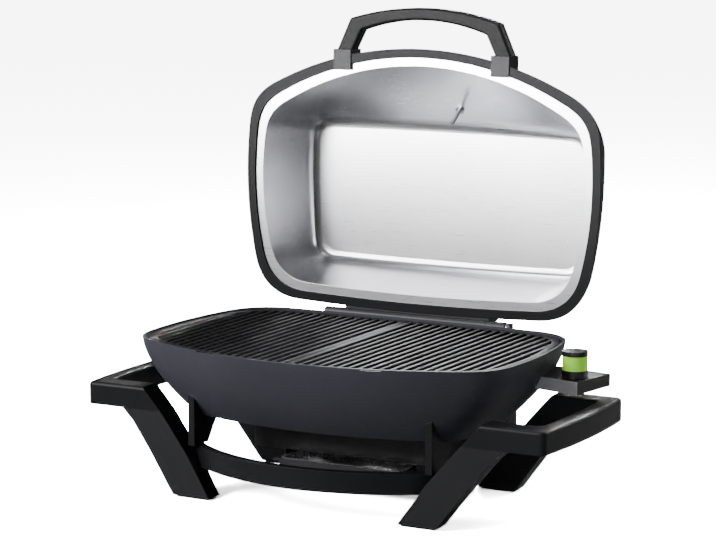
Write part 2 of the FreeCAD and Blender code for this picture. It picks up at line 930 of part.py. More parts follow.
def make_control_box(envelope):
    """The housing of the thermostat on the bowl's right side, with its cover, face and inlet."""
    seam = "control_top - control_cover"
    lower = plate("control_lower", "XY", control_corners("0"), "control_base", seam)
    tub_floor = "control_base + control_wall"
    hollow = plate("control_hollow", "XY", control_corners("control_wall"), tub_floor, seam)
    hollowed = cut("control_tub", lower, hollow)
    inlet_hole = box(
        "inlet_hole",
        "inlet_x - inlet_width / 2",
        "inlet_x + inlet_width / 2",
        "inlet_front_y",
        "control_back_inner_y",
        "control_base + control_wall",
        seam,
    )
    opened = cut("control_opened", hollowed, inlet_hole)
    face_slot = plate("face_slot", "XY", face_corners(), "control_base", "control_top")
    slotted = cut("control_slotted", opened, face_slot)
    node("control_housing", cut("control_housing", slotted, envelope))
    cover = plate("control_cover_blank", "XY", control_corners("0"), seam, "control_top")
    passage = "spindle_radius + pass_gap"
    spindle_hole = rod("spindle_hole", "knob_x", "knob_y", seam, passage, "control_cover")
    drilled = cut("control_cover_drilled", cover, spindle_hole)
    fitted = cut("control_cover_fitted", drilled, face_slot)
    node("control_cover", cut("control_cover", fitted, envelope))
    face = plate("face_blank", "XY", face_corners(), "control_base", "control_top")
    node("control_face", cut("control_face", face, envelope))
    inlet = box(
        "inlet_body",
        "inlet_x - inlet_width / 2",
        "inlet_x + inlet_width / 2",
        "inlet_front_y",
        "inlet_back_y",
        "control_base + control_wall",
        "control_base + control_wall + inlet_height",
    )
    mouth = box(
        "inlet_mouth",
        "inlet_x - inlet_width / 2 + inlet_side",
        "inlet_x + inlet_width / 2 - inlet_side",
        "inlet_back_y - inlet_socket",
        "inlet_back_y",
        "control_base + control_wall + inlet_sheet",
        "control_base + control_wall + inlet_height - inlet_sheet",
    )
    node("power_inlet", cut("power_inlet", inlet, mouth))
    switch = box(
        "switch_body",
        "knob_x - switch_half",
        "knob_x + switch_half",
        "knob_y - switch_half",
        "knob_y + switch_half",
        tub_floor,
        f"{tub_floor} + switch_height",
    )
    fitting = "spindle_radius + spindle_fit"
    bush = rod("switch_bush", "knob_x", "knob_y", tub_floor, fitting, "switch_height")
    node("thermostat_switch", cut("thermostat_switch", switch, bush))
    terminal = box(
        "terminal_body",
        "terminal_x + pass_gap",
        "terminal_x + terminal_depth",
        "element_return_y - element_radius",
        "element_back_y + element_radius",
        "control_base + control_wall",
        "control_top - control_cover",
    )
    node("terminal_block", terminal)


def face_corners():
    """The slot for the pale plate on the front of the control box."""
    (ax, ay), (bx, by), _, _ = CONTROL_CORNERS
    return [
        (ax, f"{ay} - face_proud"),
        (bx, f"{by} - face_proud"),
        (bx, f"{by} + face_plate"),
        (ax, f"{ay} + face_plate"),
    ]


def make_knob():
    """The thermostat knob: skirt, glowing band and cap on one spindle."""
    band_base = "knob_base + knob_skirt"
    cap_base = "knob_base + knob_skirt + knob_band"
    skirt = rod("skirt_blank", "knob_x", "knob_y", "knob_base", "knob_radius", "knob_skirt")
    skirt_hole = rod("skirt_hole", "knob_x", "knob_y", "knob_base", "spindle_radius", "knob_skirt")
    node("knob_skirt", cut("knob_skirt", skirt, skirt_hole))
    band = rod("band_blank", "knob_x", "knob_y", band_base, "knob_radius - band_inset", "knob_band")
    band_hole = rod("band_hole", "knob_x", "knob_y", band_base, "knob_core", "knob_band")
    node("knob_light_band", cut("knob_light_band", band, band_hole))
    core = rod("core_blank", "knob_x", "knob_y", band_base, "knob_core", "knob_band")
    core_hole = rod("core_hole", "knob_x", "knob_y", band_base, "spindle_radius", "knob_band / 2")
    node("knob_core", cut("knob_core", core, core_hole))
    cap = rod("cap_blank", "knob_x", "knob_y", cap_base, "knob_radius", "knob_cap")
    node("knob_cap", cap)
    base = "control_base + control_wall + spindle_lift"
    length = f"knob_base + knob_skirt + knob_band / 2 - ({base})"
    node("knob_spindle", rod("knob_spindle", "knob_x", "knob_y", base, "spindle_radius", length))


# Leg frames, crossbars and props


def mirrored(side, formula):
    """An x formula for the right side, turned over for the left."""
    return formula if side > 0 else f"-({formula})"


def leg_section(inner, outer, front, back, height):
    """A leg's rectangle at a height."""
    corners = [
        Vector(inner, front, height),
        Vector(outer, front, height),
        Vector(outer, back, height),
        Vector(inner, back, height),
    ]
    return Part.makePolygon(corners + corners[:1])


# A leg's heights from the ground up, with its inner and outer sides there.
LEG_LEVELS = [
    ("pad_thick", "foot_inner", "foot_outer"),
    ("shin_height", "shin_inner", "shin_outer"),
    ("thigh_height", "thigh_inner", "thigh_outer"),
    ("frame_base", "leg_knee_inner", "leg_knee_outer"),
]


def leg_shape(in_front):
    """A leg below the handle, from its foot to its knee. Only the front legs lean."""
    wires = []
    for height, inner, outer in LEG_LEVELS:
        share = f"(frame_base - {height}) / (frame_base - pad_thick)"
        deep = f"frame_arm + (foot_depth - frame_arm) * {share}"
        if in_front:
            front = f"frame_front_y - foot_lean * {share}"
            back = f"{front} + {deep}"
        else:
            front = f"frame_back_y - ({deep})"
            back = "frame_back_y"
        near, far = size(depth(front)), size(depth(back))
        wires.append(leg_section(size(inner), size(outer), near, far, size(height)))
    return loft(wires, True)


def upright_edges(shape, x):
    """A frame's edges that stand upright at one distance from the middle."""
    return [
        edge
        for edge in shape.Edges
        if abs(edge.BoundBox.ZLength - size("frame_height")) < NEAR
        and abs(edge.CenterOfMass.x - size(x)) < NEAR
    ]


def make_leg_frame(label, side, envelope):
    """One moulding: the carrying handle that stands out at the side, and the two legs that it runs into."""
    x_inner = "frame_half_width - frame_bar"
    ring = [
        ("leg_knee_inner", "frame_front_y"),
        ("frame_half_width", "frame_front_y", "frame_side_radius"),
        ("frame_half_width", "frame_back_y"),
        ("leg_knee_inner", "frame_back_y"),
        ("leg_knee_inner", "frame_back_y - frame_arm"),
        (x_inner, "frame_back_y - frame_arm", "-(frame_side_radius - frame_bar)"),
        (x_inner, "frame_front_y + frame_arm"),
        ("leg_knee_inner", "frame_front_y + frame_arm"),
    ]
    loop = plate(label + "_loop", "XY", ring, "frame_base", "frame_top")
    DOC.recompute()
    frame = loop.Shape
    frame = frame.makeFillet(size("frame_corner"), upright_edges(frame, "frame_half_width"))
    frame = frame.makeFillet(size("frame_inner_corner"), upright_edges(frame, x_inner))
    top_edges = [
        edge
        for edge in frame.Edges
        if abs(edge.BoundBox.ZMin - size("frame_top")) < NEAR
        and edge.CenterOfMass.x > size("leg_top_inner")
    ]
    frame = frame.makeFillet(size("frame_edge"), top_edges)
    knee = size("frame_base")
    top = size("frame_top")
    front = size(depth("frame_front_y")) - BEYOND
    wedge = Part.makePolygon(
        [
            Vector(size("leg_knee_inner") - BEYOND, front, knee),
            Vector(size("leg_knee_inner"), front, knee),
            Vector(size("leg_top_inner"), front, top),
            Vector(size("leg_top_inner"), front, top + BEYOND),
            Vector(size("leg_knee_inner") - BEYOND, front, top + BEYOND),
            Vector(size("leg_knee_inner") - BEYOND, front, knee),
        ]
    )
    wedge = Part.Face(wedge).extrude(Vector(0, size("frame_back_y - frame_front_y") + 2 * BEYOND, 0))
    frame = frame.cut(wedge)
    frame = frame.fuse(leg_shape(True)).fuse(leg_shape(False)).removeSplitter()
    if side < 0:
        frame = frame.mirror(Vector(), Vector(1, 0, 0))
    frame = frame.cut(envelope.Shape)
    largest = max(frame.Solids, key=lambda piece: piece.Volume)
    node(label, solid(label, largest))
    return largest


def make_foot_pads():
    """The rubber pads that the grill stands on."""
    pads = []
    for side in (-1, 1):
        for name, front in (("front", "frame_front_y - foot_lean"), ("back", "frame_back_y - foot_depth")):
            low = "foot_inner + pad_margin" if side > 0 else "-(foot_outer - pad_margin)"
            high = "foot_outer - pad_margin" if side > 0 else "-(foot_inner + pad_margin)"
            pads.append(
                box(
                    f"pad_{name}_{'right' if side > 0 else 'left'}",
                    low,
                    high,
                    f"{front} + pad_margin",
                    f"{front} + foot_depth - pad_margin",
                    "0",
                    "pad_thick",
                )
            )
    node("foot_pads", group("foot_pads", pads))


def bowed_bar(name, middle_y, forward, base, height):
    """A bar bowed in plan, between two cylinders, cut off at both ends."""
    centre = f"{middle_y} + ({forward}) * front_bar_radius"
    outer = rod(name + "_outer", "0", centre, base, "front_bar_radius", height)
    inner = rod(name + "_inner", "0", centre, base, "front_bar_radius - crossbar_thick", height)
    ring = cut(name + "_ring", outer, inner)
    near = middle_y if forward == "1" else f"{middle_y} - crossbar_window"
    far = f"{middle_y} + crossbar_window" if forward == "1" else middle_y
    top = f"{base} + {height}"
    window = box(name + "_window", "-crossbar_reach", "crossbar_reach", near, far, base, top)
    made = DOC.addObject("Part::Common", name + "_bow")
    made.Base = ring
    made.Tool = window
    return made


def make_crossbars(legs):
    """The bars that tie the two leg frames together, seated against the legs."""
    frames = solid("leg_frames_form", Part.makeCompound(legs))
    for label, middle_y, forward, base, height in (
        ("front_crossbar", "front_bar_y", "1", "front_bar_base", "front_bar_height"),
        ("rear_crossbar", "rear_bar_y", "-1", "rear_bar_base", "rear_bar_height"),
    ):
        bow = bowed_bar(label, middle_y, forward, base, height)
        node(label, cut(label, bow, frames))


def make_props(envelope):
    """The upright plates that carry the bowl on the crossbars."""
    shoulder = "bowl_floor_height - prop_shoulder_drop"
    for label, outer_y, inward, base in (
        ("front_bowl_props", "prop_front_y", "1", "front_bar_base + front_bar_height"),
        ("rear_bowl_props", "prop_back_y", "-1", "rear_bar_base + rear_bar_height"),
    ):
        corners = [
            (outer_y, base),
            (f"{outer_y} + ({inward}) * prop_foot", base),
            (f"{outer_y} + ({inward}) * prop_top", shoulder),
            (f"{outer_y} + ({inward}) * prop_top", "prop_blank_top"),
            (outer_y, "prop_blank_top"),
        ]
        plates = []
        for side in (-1, 1):
            low = "prop_outer - prop_thick" if side > 0 else "-prop_outer"
            high = "prop_outer" if side > 0 else "-(prop_outer - prop_thick)"
            name = f"{label}_{'right' if side > 0 else 'left'}"
            blank = plate(name + "_blank", "YZ", corners, low, high)
            plates.append(cut(name, blank, envelope))
        node(label, group(label, plates))


# Under the bowl


def make_shield():
    """The sheet-metal shield under the bowl, open where the chute passes."""
    sheet = "shield_sheet"
    outer = box(
        "shield_outer",
        "-shield_half_width",
        "shield_half_width",
        "shield_front_y",
        "shield_back_y",
        "shield_base",
        "bowl_floor_height",
    )
    hollow = box(
        "shield_hollow",
        f"-shield_half_width + {sheet}",
        f"shield_half_width - {sheet}",
        f"shield_front_y + {sheet}",
        f"shield_back_y - {sheet}",
        f"shield_base + {sheet}",
        "bowl_floor_height",
    )
    wide = "(chute_mouth_half_width + chute_sheet + chute_gap)"
    deep = "(chute_mouth_half_depth + chute_sheet + chute_gap)"
    mouth = box("shield_mouth", f"-{wide}", wide, f"drain_y - {deep}", f"drain_y + {deep}", "shield_base",
                f"shield_base + {sheet}")
    node("heat_shield", cut("heat_shield", cut("shield_pan", outer, hollow), mouth))


def make_chute():
    """The funnel that leads the fat from the bowl's drain to the drip pan."""

    def level(half_width, half_depth, height, grow):
        middle = point(0, "drain_y", height)
        wide = size(half_width) + grow
        deep = size(half_depth) + grow
        corners = [
            middle + Vector(-wide, -deep, 0),
            middle + Vector(wide, -deep, 0),
            middle + Vector(wide, deep, 0),
            middle + Vector(-wide, deep, 0),
        ]
        return Part.makePolygon(corners + corners[:1])

    sheet = size("chute_sheet")
    top = ("drain_half_width", "drain_half_depth", "bowl_floor_height")
    low = ("chute_mouth_half_width", "chute_mouth_half_depth", "chute_mouth_height")
    outer = loft([level(*low, sheet), level(*top, sheet)], True)
    inner = loft([level(*low, 0.0), level(*top, 0.0)], True)
    node("grease_chute", solid("grease_chute", outer.cut(inner)))


def tray_box(name, inset, low, high):
    """A block with the drip tray's outline drawn in by an inset."""
    return box(
        name,
        f"-(tray_half_width - ({inset}))",
        f"tray_half_width - ({inset})",
        f"tray_front_y + ({inset})",
        f"tray_back_y - ({inset})",
        low,
        high,
    )


def make_tray():
    """The drip tray on its rails, with the foil pan inside it."""
    outer = tray_box("tray_outer", "0", "tray_base", "tray_top")
    hollow = tray_box("tray_hollow", "tray_wall", "tray_base + tray_wall", "tray_top")
    lips = []
    for side in (-1, 1):
        low = "tray_half_width" if side > 0 else "-tray_half_width - tray_lip"
        high = "tray_half_width + tray_lip" if side > 0 else "-tray_half_width"
        name = f"tray_lip_{'right' if side > 0 else 'left'}"
        lips.append(box(name, low, high, "tray_front_y", "tray_back_y", "tray_top - tray_wall", "tray_top"))
    grip = box(
        "tray_grip",
        "-tray_grip_half",
        "tray_grip_half",
        "tray_back_y",
        "tray_back_y + tray_grip",
        "tray_top - tray_grip_thick",
        "tray_top",
    )
    tub = cut("tray_tub", outer, hollow)
    node("drip_tray", fuse("drip_tray", [tub, grip] + lips))
    base = "tray_base + tray_wall"
    top = "tray_top + foil_rise"
    skin = "tray_wall + foil_gap"
    pan = tray_box("foil_outer", skin, base, top)
    well = tray_box("foil_well", f"{skin} + foil_wall", f"{base} + foil_wall", top)
    rim = tray_box("foil_rim", "-foil_rim", "tray_top", top)
    rim_well = tray_box("foil_rim_well", f"{skin} + foil_wall", "tray_top", top)
    node("drip_pan", fuse("drip_pan", [cut("foil_pan", pan, well), cut("foil_edge", rim, rim_well)]))
    rails = []
    for side in (-1, 1):
        name = f"tray_rail_{'right' if side > 0 else 'left'}"
        inner_x = "tray_half_width + rail_gap"
        outer_x = "tray_half_width + tray_lip + rail_gap + rail_sheet"
        shelf_top = "tray_top - tray_wall - rail_gap"
        low, high = (inner_x, outer_x) if side > 0 else (f"-({outer_x})", f"-({inner_x})")
        shelf = box(name + "_shelf", low, high, "tray_front_y", "tray_back_y", f"{shelf_top} - rail_sheet",
                    shelf_top)
        web_in = "tray_half_width + tray_lip + rail_gap"
        low, high = (web_in, outer_x) if side > 0 else (f"-({outer_x})", f"-({web_in})")
        web = box(name + "_web", low, high, "shield_front_y", "shield_back_y", shelf_top, "shield_base")
        rails.append(fuse(name, [shelf, web]))
    node("tray_rails", group("tray_rails", rails))


# Lid, in its closed place


LID_STEPS = [0.0, 0.1, 0.28, 0.5, 0.72, 0.88, 0.97, 1.0]
ROUND_TURNS = (0.0, 15.0, 30.0, 45.0, 60.0, 75.0, 90.0)


def lid_share(step):
    """How far the lid has drawn in from its rim towards its top, at a share of its height."""
    curve = size("lid_curve")
    return 1 - (1 - step**curve) ** (1 / curve)


def lid_body(inward, base, height):
    """The space inside the lid's outer skin, or inside its wall."""
    rim = rim_outline()
    top = lid_top_outline()
    wires = []
    for step in LID_STEPS:
        section = rim.towards(top, lid_share(step)).inset(inward)
        wires.append(section.wire(base + height * step))
    return loft(wires)


def lid_placement():
    """Where the lid lies when it is open: turned back about its hinge."""
    axis = point(0, "hinge_y", "hinge_height")
    return Placement(Vector(), Rotation(Vector(1, 0, 0), -size("open_angle")), axis)


def make_lid(placement):
    """The painted outer shell with its lip, and the bright liner inside it."""
    seat = size("lid_seat")
    wall = size("lid_wall")
    height = size("lid_height")
    outer = lid_body(0.0, seat, height)
    lip = size("lip_thick")
    inner = lid_body(wall, seat, height - wall)
    rim = rim_outline()
    inner = inner.cut(slab(rim, seat - BEYOND, seat + lip))
    shell = outer.cut(inner)
    shell = shell.cut(slab(rim.inset(size("lip_width")), seat - BEYOND, seat + lip))
    axis, gauge_seat = gauge_frame()
    reach = size("gauge_sink + gauge_stem_reach")
    start = gauge_seat - axis * reach
    hole = Part.makeCylinder(size("gauge_stem + pass_gap"), reach + size("gauge_stand"), start, axis)
    shell = shell.cut(hole)
    node("lid_shell", solid("lid_shell", shell), placement)
    liner = liner_shape(inner).cut(hole)
    node("lid_liner", solid("lid_liner", liner), placement)
    return solid("lid_envelope", outer), liner


def liner_body(inward, low, high):
    """The space inside the liner: straight walls from the flange to the panel, rounded where they meet."""
    start = rim_outline().inset(size("liner_flange"))
    panel = panel_outline()
    rounding = size("liner_round") / (high - low)
    wires = [start.inset(inward).wire(low)]
    for turn in ROUND_TURNS:
        rise = math.sin(math.radians(turn))
        soft = size("liner_round") * (1 - math.cos(math.radians(turn)))
        step = 1 - rounding + rounding * rise
        section = start.towards(panel, step).inset(inward + soft)
        wires.append(section.wire(low + (high - low) * step))
    return loft(wires, True)


def liner_shape(inside_shell):
    """The liner: a pressed bowl with a flange that lies on the shell's lip."""
    sheet = size("liner_sheet")
    low = size("lid_seat + lip_thick")
    high = size("lid_seat + liner_depth")
    flange = slab(rim_outline().inset(size("lip_width - liner_overlap")), low, low + sheet)
    outside = liner_body(0.0, low, high).fuse(flange.common(inside_shell))
    start = rim_outline().inset(size("liner_flange") + sheet)
    inside = liner_body(sheet, low, high - sheet).fuse(slab(start, low - 2 * sheet, low))
    return outside.cut(inside).removeSplitter()


def make_hinge(envelope, lid_envelope, placement):
    """The rear hinge: a long barrel on the lid between two brackets on the bowl, with a pin at each end."""
    barrel = rod("barrel_blank", "-barrel_half", "hinge_y", "hinge_height", "barrel_radius",
                 "2 * barrel_half", "x")
    leaf = box("leaf_blank", "-barrel_half", "barrel_half", "rim_back_y - leaf_reach",
               "hinge_y - barrel_radius + leaf_thick", "lid_seat + leaf_lift", "hinge_height + leaf_rise")
    leaf_cut = cut("leaf_seated", leaf, lid_envelope)
    bridge = fuse("bridge_blank", [barrel, leaf_cut])
    bores = []
    pins = []
    for side in (-1, 1):
        name = "right" if side > 0 else "left"
        low = "barrel_half - pin_depth - pin_end_gap" if side > 0 else "-barrel_half"
        bores.append(rod(f"barrel_bore_{name}", low, "hinge_y", "hinge_height", "pin_radius + pin_fit",
                         "pin_depth + pin_end_gap", "x"))
        reach = "knuckle_gap + knuckle_width + pin_depth"
        pin_low = "barrel_half - pin_depth" if side > 0 else "-(barrel_half + knuckle_gap + knuckle_width)"
        shank = rod(f"pin_shank_{name}", pin_low, "hinge_y", "hinge_height", "pin_radius", reach, "x")
        head_low = "barrel_half + knuckle_gap + knuckle_width"
        low = head_low if side > 0 else f"-({head_low} + pin_head)"
        head = rod(f"pin_head_{name}", low, "hinge_y", "hinge_height", "pin_head_radius", "pin_head", "x")
        pins.append(fuse(f"hinge_pin_{name}", [shank, head]))
    node("hinge_bridge", cut("hinge_bridge", bridge, fuse("barrel_bores", bores)), placement)
    node("hinge_pins", group("hinge_pins", pins))
    for side in (-1, 1):
        name = "right" if side > 0 else "left"
        near = "barrel_half + knuckle_gap"
        far = "barrel_half + knuckle_gap + knuckle_width"
        low, high = (near, far) if side > 0 else (f"-({far})", f"-({near})")
        width = "knuckle_width"
        knuckle = rod(f"knuckle_{name}", low, "hinge_y", "hinge_height", "barrel_radius", width, "x")
        web = box(f"bracket_web_{name}", low, high, "rim_back_y - web_reach", "hinge_y + barrel_radius",
                  "hinge_height - bracket_drop", "hinge_height - web_top_drop")
        tab_low = "barrel_half - stop_inboard"
        low_x, high_x = (tab_low, far) if side > 0 else (f"-({far})", f"-({tab_low})")
        tab_top = (
            "hinge_height + (barrel_radius - leaf_thick) * cos(open_angle - 90)"
            " - stop_reach * sin(open_angle - 90) - stop_gap"
        )
        tab = box(f"stop_tab_{name}", low_x, high_x, "hinge_y + barrel_radius + stop_set_off",
                  "hinge_y + stop_reach", "hinge_height - stop_depth", tab_top)
        arm = box(f"stop_arm_{name}", low, high, "hinge_y", "hinge_y + barrel_radius + 2 * stop_set_off",
                  "hinge_height - stop_depth", "hinge_height")
        form = fuse(f"bracket_form_{name}", [knuckle, web, arm, tab])
        seated = cut(f"bracket_seated_{name}", form, envelope)
        bore = rod(f"knuckle_bore_{name}", low, "hinge_y", "hinge_height", "pin_radius + pin_fit / 2",
                   "knuckle_width", "x")
        node(f"hinge_bracket_{name}", cut(f"hinge_bracket_{name}", seated, bore))


# Only the handle's edges longer than this are rounded.
LONG_EDGE = 15.0


def make_handle(lid_envelope, placement):
    """The lid's handle and the two brackets that clasp the lid's lip."""
    low = "lid_seat + handle_base"
    corners = [
        ("-handle_foot_outer", "handle_foot_y"),
        ("-handle_corner_x", "handle_corner_y", "handle_outer_radius"),
        ("handle_corner_x", "handle_corner_y"),
        ("handle_foot_outer", "handle_foot_y"),
        ("handle_foot_inner", "handle_foot_y"),
        ("handle_inner_x", "handle_inner_y", "-handle_inner_radius"),
        ("-handle_inner_x", "handle_inner_y"),
        ("-handle_foot_inner", "handle_foot_y"),
    ]
    handle = plate("lid_handle", "XY", corners, low, f"{low} + handle_thick")
    DOC.recompute()
    edges = [
        index + 1
        for index, edge in enumerate(handle.Shape.Edges)
        if edge.BoundBox.YMin < size(depth("handle_foot_y")) - BEYOND and edge.Length > LONG_EDGE
    ]
    blank = handle.Tip
    rounding = handle.newObject("PartDesign::Fillet", "lid_handle_rounding")
    rounding.Base = (blank, [f"Edge{number}" for number in edges])
    rounding.setExpression("Radius", bound("handle_edge"))
    handle.Tip = rounding
    node("lid_handle", handle, placement)
    for side in (-1, 1):
        name = "right" if side > 0 else "left"
        inner_x = "handle_foot_inner - bracket_margin"
        outer_x = "handle_foot_outer + bracket_margin"
        low_x, high_x = (inner_x, outer_x) if side > 0 else (f"-({outer_x})", f"-({inner_x})")
        block = box(f"clasp_block_{name}", low_x, high_x, "handle_foot_y", "handle_foot_y + bracket_length",
                    "lid_seat", "lid_seat + bracket_rise")
        seated = cut(f"clasp_seated_{name}", block, lid_envelope)
        toe = box(f"clasp_toe_{name}", low_x, high_x, "handle_foot_y", "handle_foot_y + bracket_toe",
                  "lid_seat - bracket_toe_thick", "lid_seat")
        node(f"handle_bracket_{name}", fuse(f"handle_bracket_{name}", [seated, toe]), placement)


# Lid gauge


def gauge_frame():
    """The gauge's axis, which points out of the lid, and its seat on the lid's skin."""
    tilt = math.radians(size("gauge_tilt"))
    axis = Vector(0, -math.sin(tilt), math.cos(tilt))
    return axis, point("gauge_x", "gauge_seat_y", "lid_seat + gauge_seat_rise")


def make_gauge(lid_envelope, liner, placement):
    """The dial thermometer in the front of the lid."""
    axis, seat = gauge_frame()

    def disc(radius, low, high):
        return Part.makeCylinder(radius, high - low, seat + axis * low, axis)

    radius = size("gauge_radius")
    wall = size("gauge_wall")
    stand = size("gauge_stand")
    sink = size("gauge_sink")
    stem = size("gauge_stem")
    face = stand - size("gauge_face_drop")
    dial = size("gauge_dial")
    lens = size("gauge_lens")
    case = disc(radius, -sink, stand).cut(disc(radius - wall, face, stand))
    case = case.cut(disc(stem, -sink, face)).cut(lid_envelope.Shape)
    case = max(case.Solids, key=lambda piece: piece.Volume)
    node("gauge_case", solid("gauge_case", case), placement)
    inner = radius - wall
    pivot_gap = size("needle_pivot + needle_gap")
    plate_disc = disc(inner, face, face + dial).cut(disc(pivot_gap, face, face + dial))
    node("gauge_dial", solid("gauge_dial", plate_disc), placement)
    node("gauge_lens", solid("gauge_lens", disc(inner, stand - lens, stand)), placement)
    reach = size("gauge_stem_reach")
    pivot_hole = disc(size("needle_pivot + spindle_fit"), face - size("pivot_depth + pivot_end_gap"), face)
    shaft = disc(stem, -sink - reach, face).cut(pivot_hole)
    node("gauge_stem", solid("gauge_stem", shaft), placement)
    nut_low = liner_distance() - size("gauge_nut")
    nut_radius = size("gauge_nut_radius")
    corners = [
        Vector(nut_radius * math.cos(math.radians(turn)), nut_radius * math.sin(math.radians(turn)), 0)
        for turn in range(0, 360, 60)
    ]
    nut = Part.Face(Part.makePolygon(corners + corners[:1])).extrude(Vector(0, 0, size("gauge_nut")))
    nut.Placement = Placement(seat + axis * nut_low, Rotation(Vector(0, 0, 1), axis))
    nut_bore = disc(stem, nut_low - BEYOND, nut_low + size("gauge_nut") + BEYOND)
    nut = nut.cut(nut_bore).cut(liner)
    node("gauge_nut", solid("gauge_nut", nut), placement)
    low = face + dial + size("needle_gap")
    high = low + size("needle_thick")
    width = size("needle_width")
    length = inner - size("needle_tip_gap")
    blade = Part.makeBox(width, length, high - low, Vector(-width / 2, 0, 0))
    blade.Placement = Placement(seat + axis * low, Rotation(Vector(0, 0, 1), axis))
    hub = disc(size("needle_hub"), low, high)
    pivot = disc(size("needle_pivot"), face - size("pivot_depth"), high)
    node("gauge_needle", solid("gauge_needle", blade.fuse(hub).fuse(pivot).removeSplitter()), placement)


def liner_distance():
    """Where the gauge's axis meets the inner face of the liner's front wall, counted from the seat."""
    axis, seat = gauge_frame()
    shift = size("frame_shift")
    low_y = size("rim_front_y + liner_flange") + shift
    low_z = size("lid_seat + lip_thick")
    high_y = size("liner_panel_front_y") + shift
    high_z = size("lid_seat + liner_depth")
    wall_y = high_y - low_y
    wall_z = high_z - low_z
    normal = Vector(0, -wall_z, wall_y).normalize()
    start = Vector(0, low_y, low_z)
    return (start - seat).dot(normal) / axis.dot(normal) - size("liner_sheet")


# Fasteners


# The screws under the control box, as steps to the right of and behind the knob.
CONTROL_SCREWS = ((-24, 44), (14, 44), (-20, -6))


def make_screws(placement):
    """The screws: under the carrying handles and the control box, and in the hinge."""
    heads = []
    for side in (-1, 1):
        for name, middle_y in (
            ("front", "frame_front_y + frame_arm / 2"),
            ("back", "frame_back_y - frame_arm / 2"),
        ):
            label = f"leg_screw_{name}_{'right' if side > 0 else 'left'}"
            middle_x = mirrored(side, "leg_knee_outer + leg_screw_offset")
            base = "frame_base - screw_head"
            heads.append(rod(label, middle_x, middle_y, base, "screw_radius", "screw_head"))
    node("leg_screws", group("leg_screws", heads))
    bottoms = []
    for index, (right, back) in enumerate(CONTROL_SCREWS):
        bottoms.append(rod(f"control_screw_{index}", f"knob_x + {right}", f"knob_y + {back}",
                           "control_base - small_screw_head", "small_screw_radius", "small_screw_head"))
    node("control_screws", group("control_screws", bottoms))
    leaf_face = "hinge_y - barrel_radius + leaf_thick"
    leaf_height = "hinge_height + leaf_rise - leaf_screw_drop"
    leaf_heads = []
    for index in (-1, 0, 1):
        leaf_heads.append(
            rod(f"leaf_screw_{index + 1}", f"{index} * barrel_half / 2", leaf_face, leaf_height,
                "screw_radius", "small_screw_head", "y")
        )
    node("hinge_leaf_screws", group("hinge_leaf_screws", leaf_heads), placement)
    web_heads = []
    for side in (-1, 1):
        middle = mirrored(side, "barrel_half + knuckle_gap + knuckle_width / 2")
        heights = ("hinge_height - bracket_drop + bracket_screw_rise", "hinge_height - bracket_screw_drop")
        for row, height in enumerate(heights):
            web_heads.append(
                rod(f"bracket_screw_{side + 1}_{row}", middle, "hinge_y + barrel_radius", height,
                    "small_screw_radius", "small_screw_head", "y")
            )
    node("hinge_bracket_screws", group("hinge_bracket_screws", web_heads))


def check_and_write():
    """Stop on any failed object, then write each sub-part to its own file."""
    DOC.recompute()
    for thing in DOC.Objects:
        for state in thing.State:
            if state in ("Invalid", "Error"):
                raise SystemExit(f"{thing.Name} is {state}")
    os.makedirs("parts", exist_ok=True)
    for thing in NODES:
        shape = thing.Shape
        if shape.isNull() or not shape.isValid() or not shape.Solids:
            raise SystemExit(f"{thing.Label} has no valid solid")
        shape.exportStep(f"parts/{thing.Label}.step")
    print(len(NODES), "sub-parts written")


def main():
    """Build the whole grill."""
    fill_sheet()
    envelope = make_bowl()
    make_grid("cooking_grid_left", -1)
    make_grid("cooking_grid_right", 1)
    make_reflector()
    make_element()
    make_flange()
    make_control_box(envelope)
    make_knob()
    legs = [
        make_leg_frame("leg_frame_left", -1, envelope),
        make_leg_frame("leg_frame_right", 1, envelope),
    ]
    make_foot_pads()
    make_crossbars(legs)
    make_props(envelope)
    make_chute()
    make_shield()
    make_tray()
    placement = lid_placement()
    lid_envelope, liner = make_lid(placement)
    make_hinge(envelope, lid_envelope, placement)
    make_handle(lid_envelope, placement)
    make_gauge(lid_envelope, liner, placement)
    make_screws(placement)
    check_and_write()


main()
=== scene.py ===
"""The looks of a tabletop electric barbecue grill with a domed lid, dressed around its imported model."""

from __future__ import annotations

import json
import logging
import math
from dataclasses import dataclass, field
from enum import Enum

import bmesh
import bpy
from mathutils import Matrix, Vector


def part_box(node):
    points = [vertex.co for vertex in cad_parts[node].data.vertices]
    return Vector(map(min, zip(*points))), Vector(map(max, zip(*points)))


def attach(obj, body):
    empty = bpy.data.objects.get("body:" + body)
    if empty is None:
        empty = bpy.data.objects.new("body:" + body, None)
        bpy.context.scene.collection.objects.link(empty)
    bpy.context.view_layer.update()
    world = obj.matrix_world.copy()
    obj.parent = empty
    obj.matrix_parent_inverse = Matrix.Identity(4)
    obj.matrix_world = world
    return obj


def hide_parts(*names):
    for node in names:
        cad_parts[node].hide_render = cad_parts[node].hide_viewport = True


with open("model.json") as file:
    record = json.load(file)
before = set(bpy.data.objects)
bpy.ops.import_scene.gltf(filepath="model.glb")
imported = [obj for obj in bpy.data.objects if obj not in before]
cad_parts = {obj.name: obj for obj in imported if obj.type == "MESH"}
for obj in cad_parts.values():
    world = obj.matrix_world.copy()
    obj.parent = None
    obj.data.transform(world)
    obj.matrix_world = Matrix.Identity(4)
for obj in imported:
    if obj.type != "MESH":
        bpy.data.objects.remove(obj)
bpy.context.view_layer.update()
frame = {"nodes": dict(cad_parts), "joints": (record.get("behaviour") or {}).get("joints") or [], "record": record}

LOG = logging.getLogger("grill")
MM = 0.001

Colour = tuple[float, float, float]


# Shader graphs


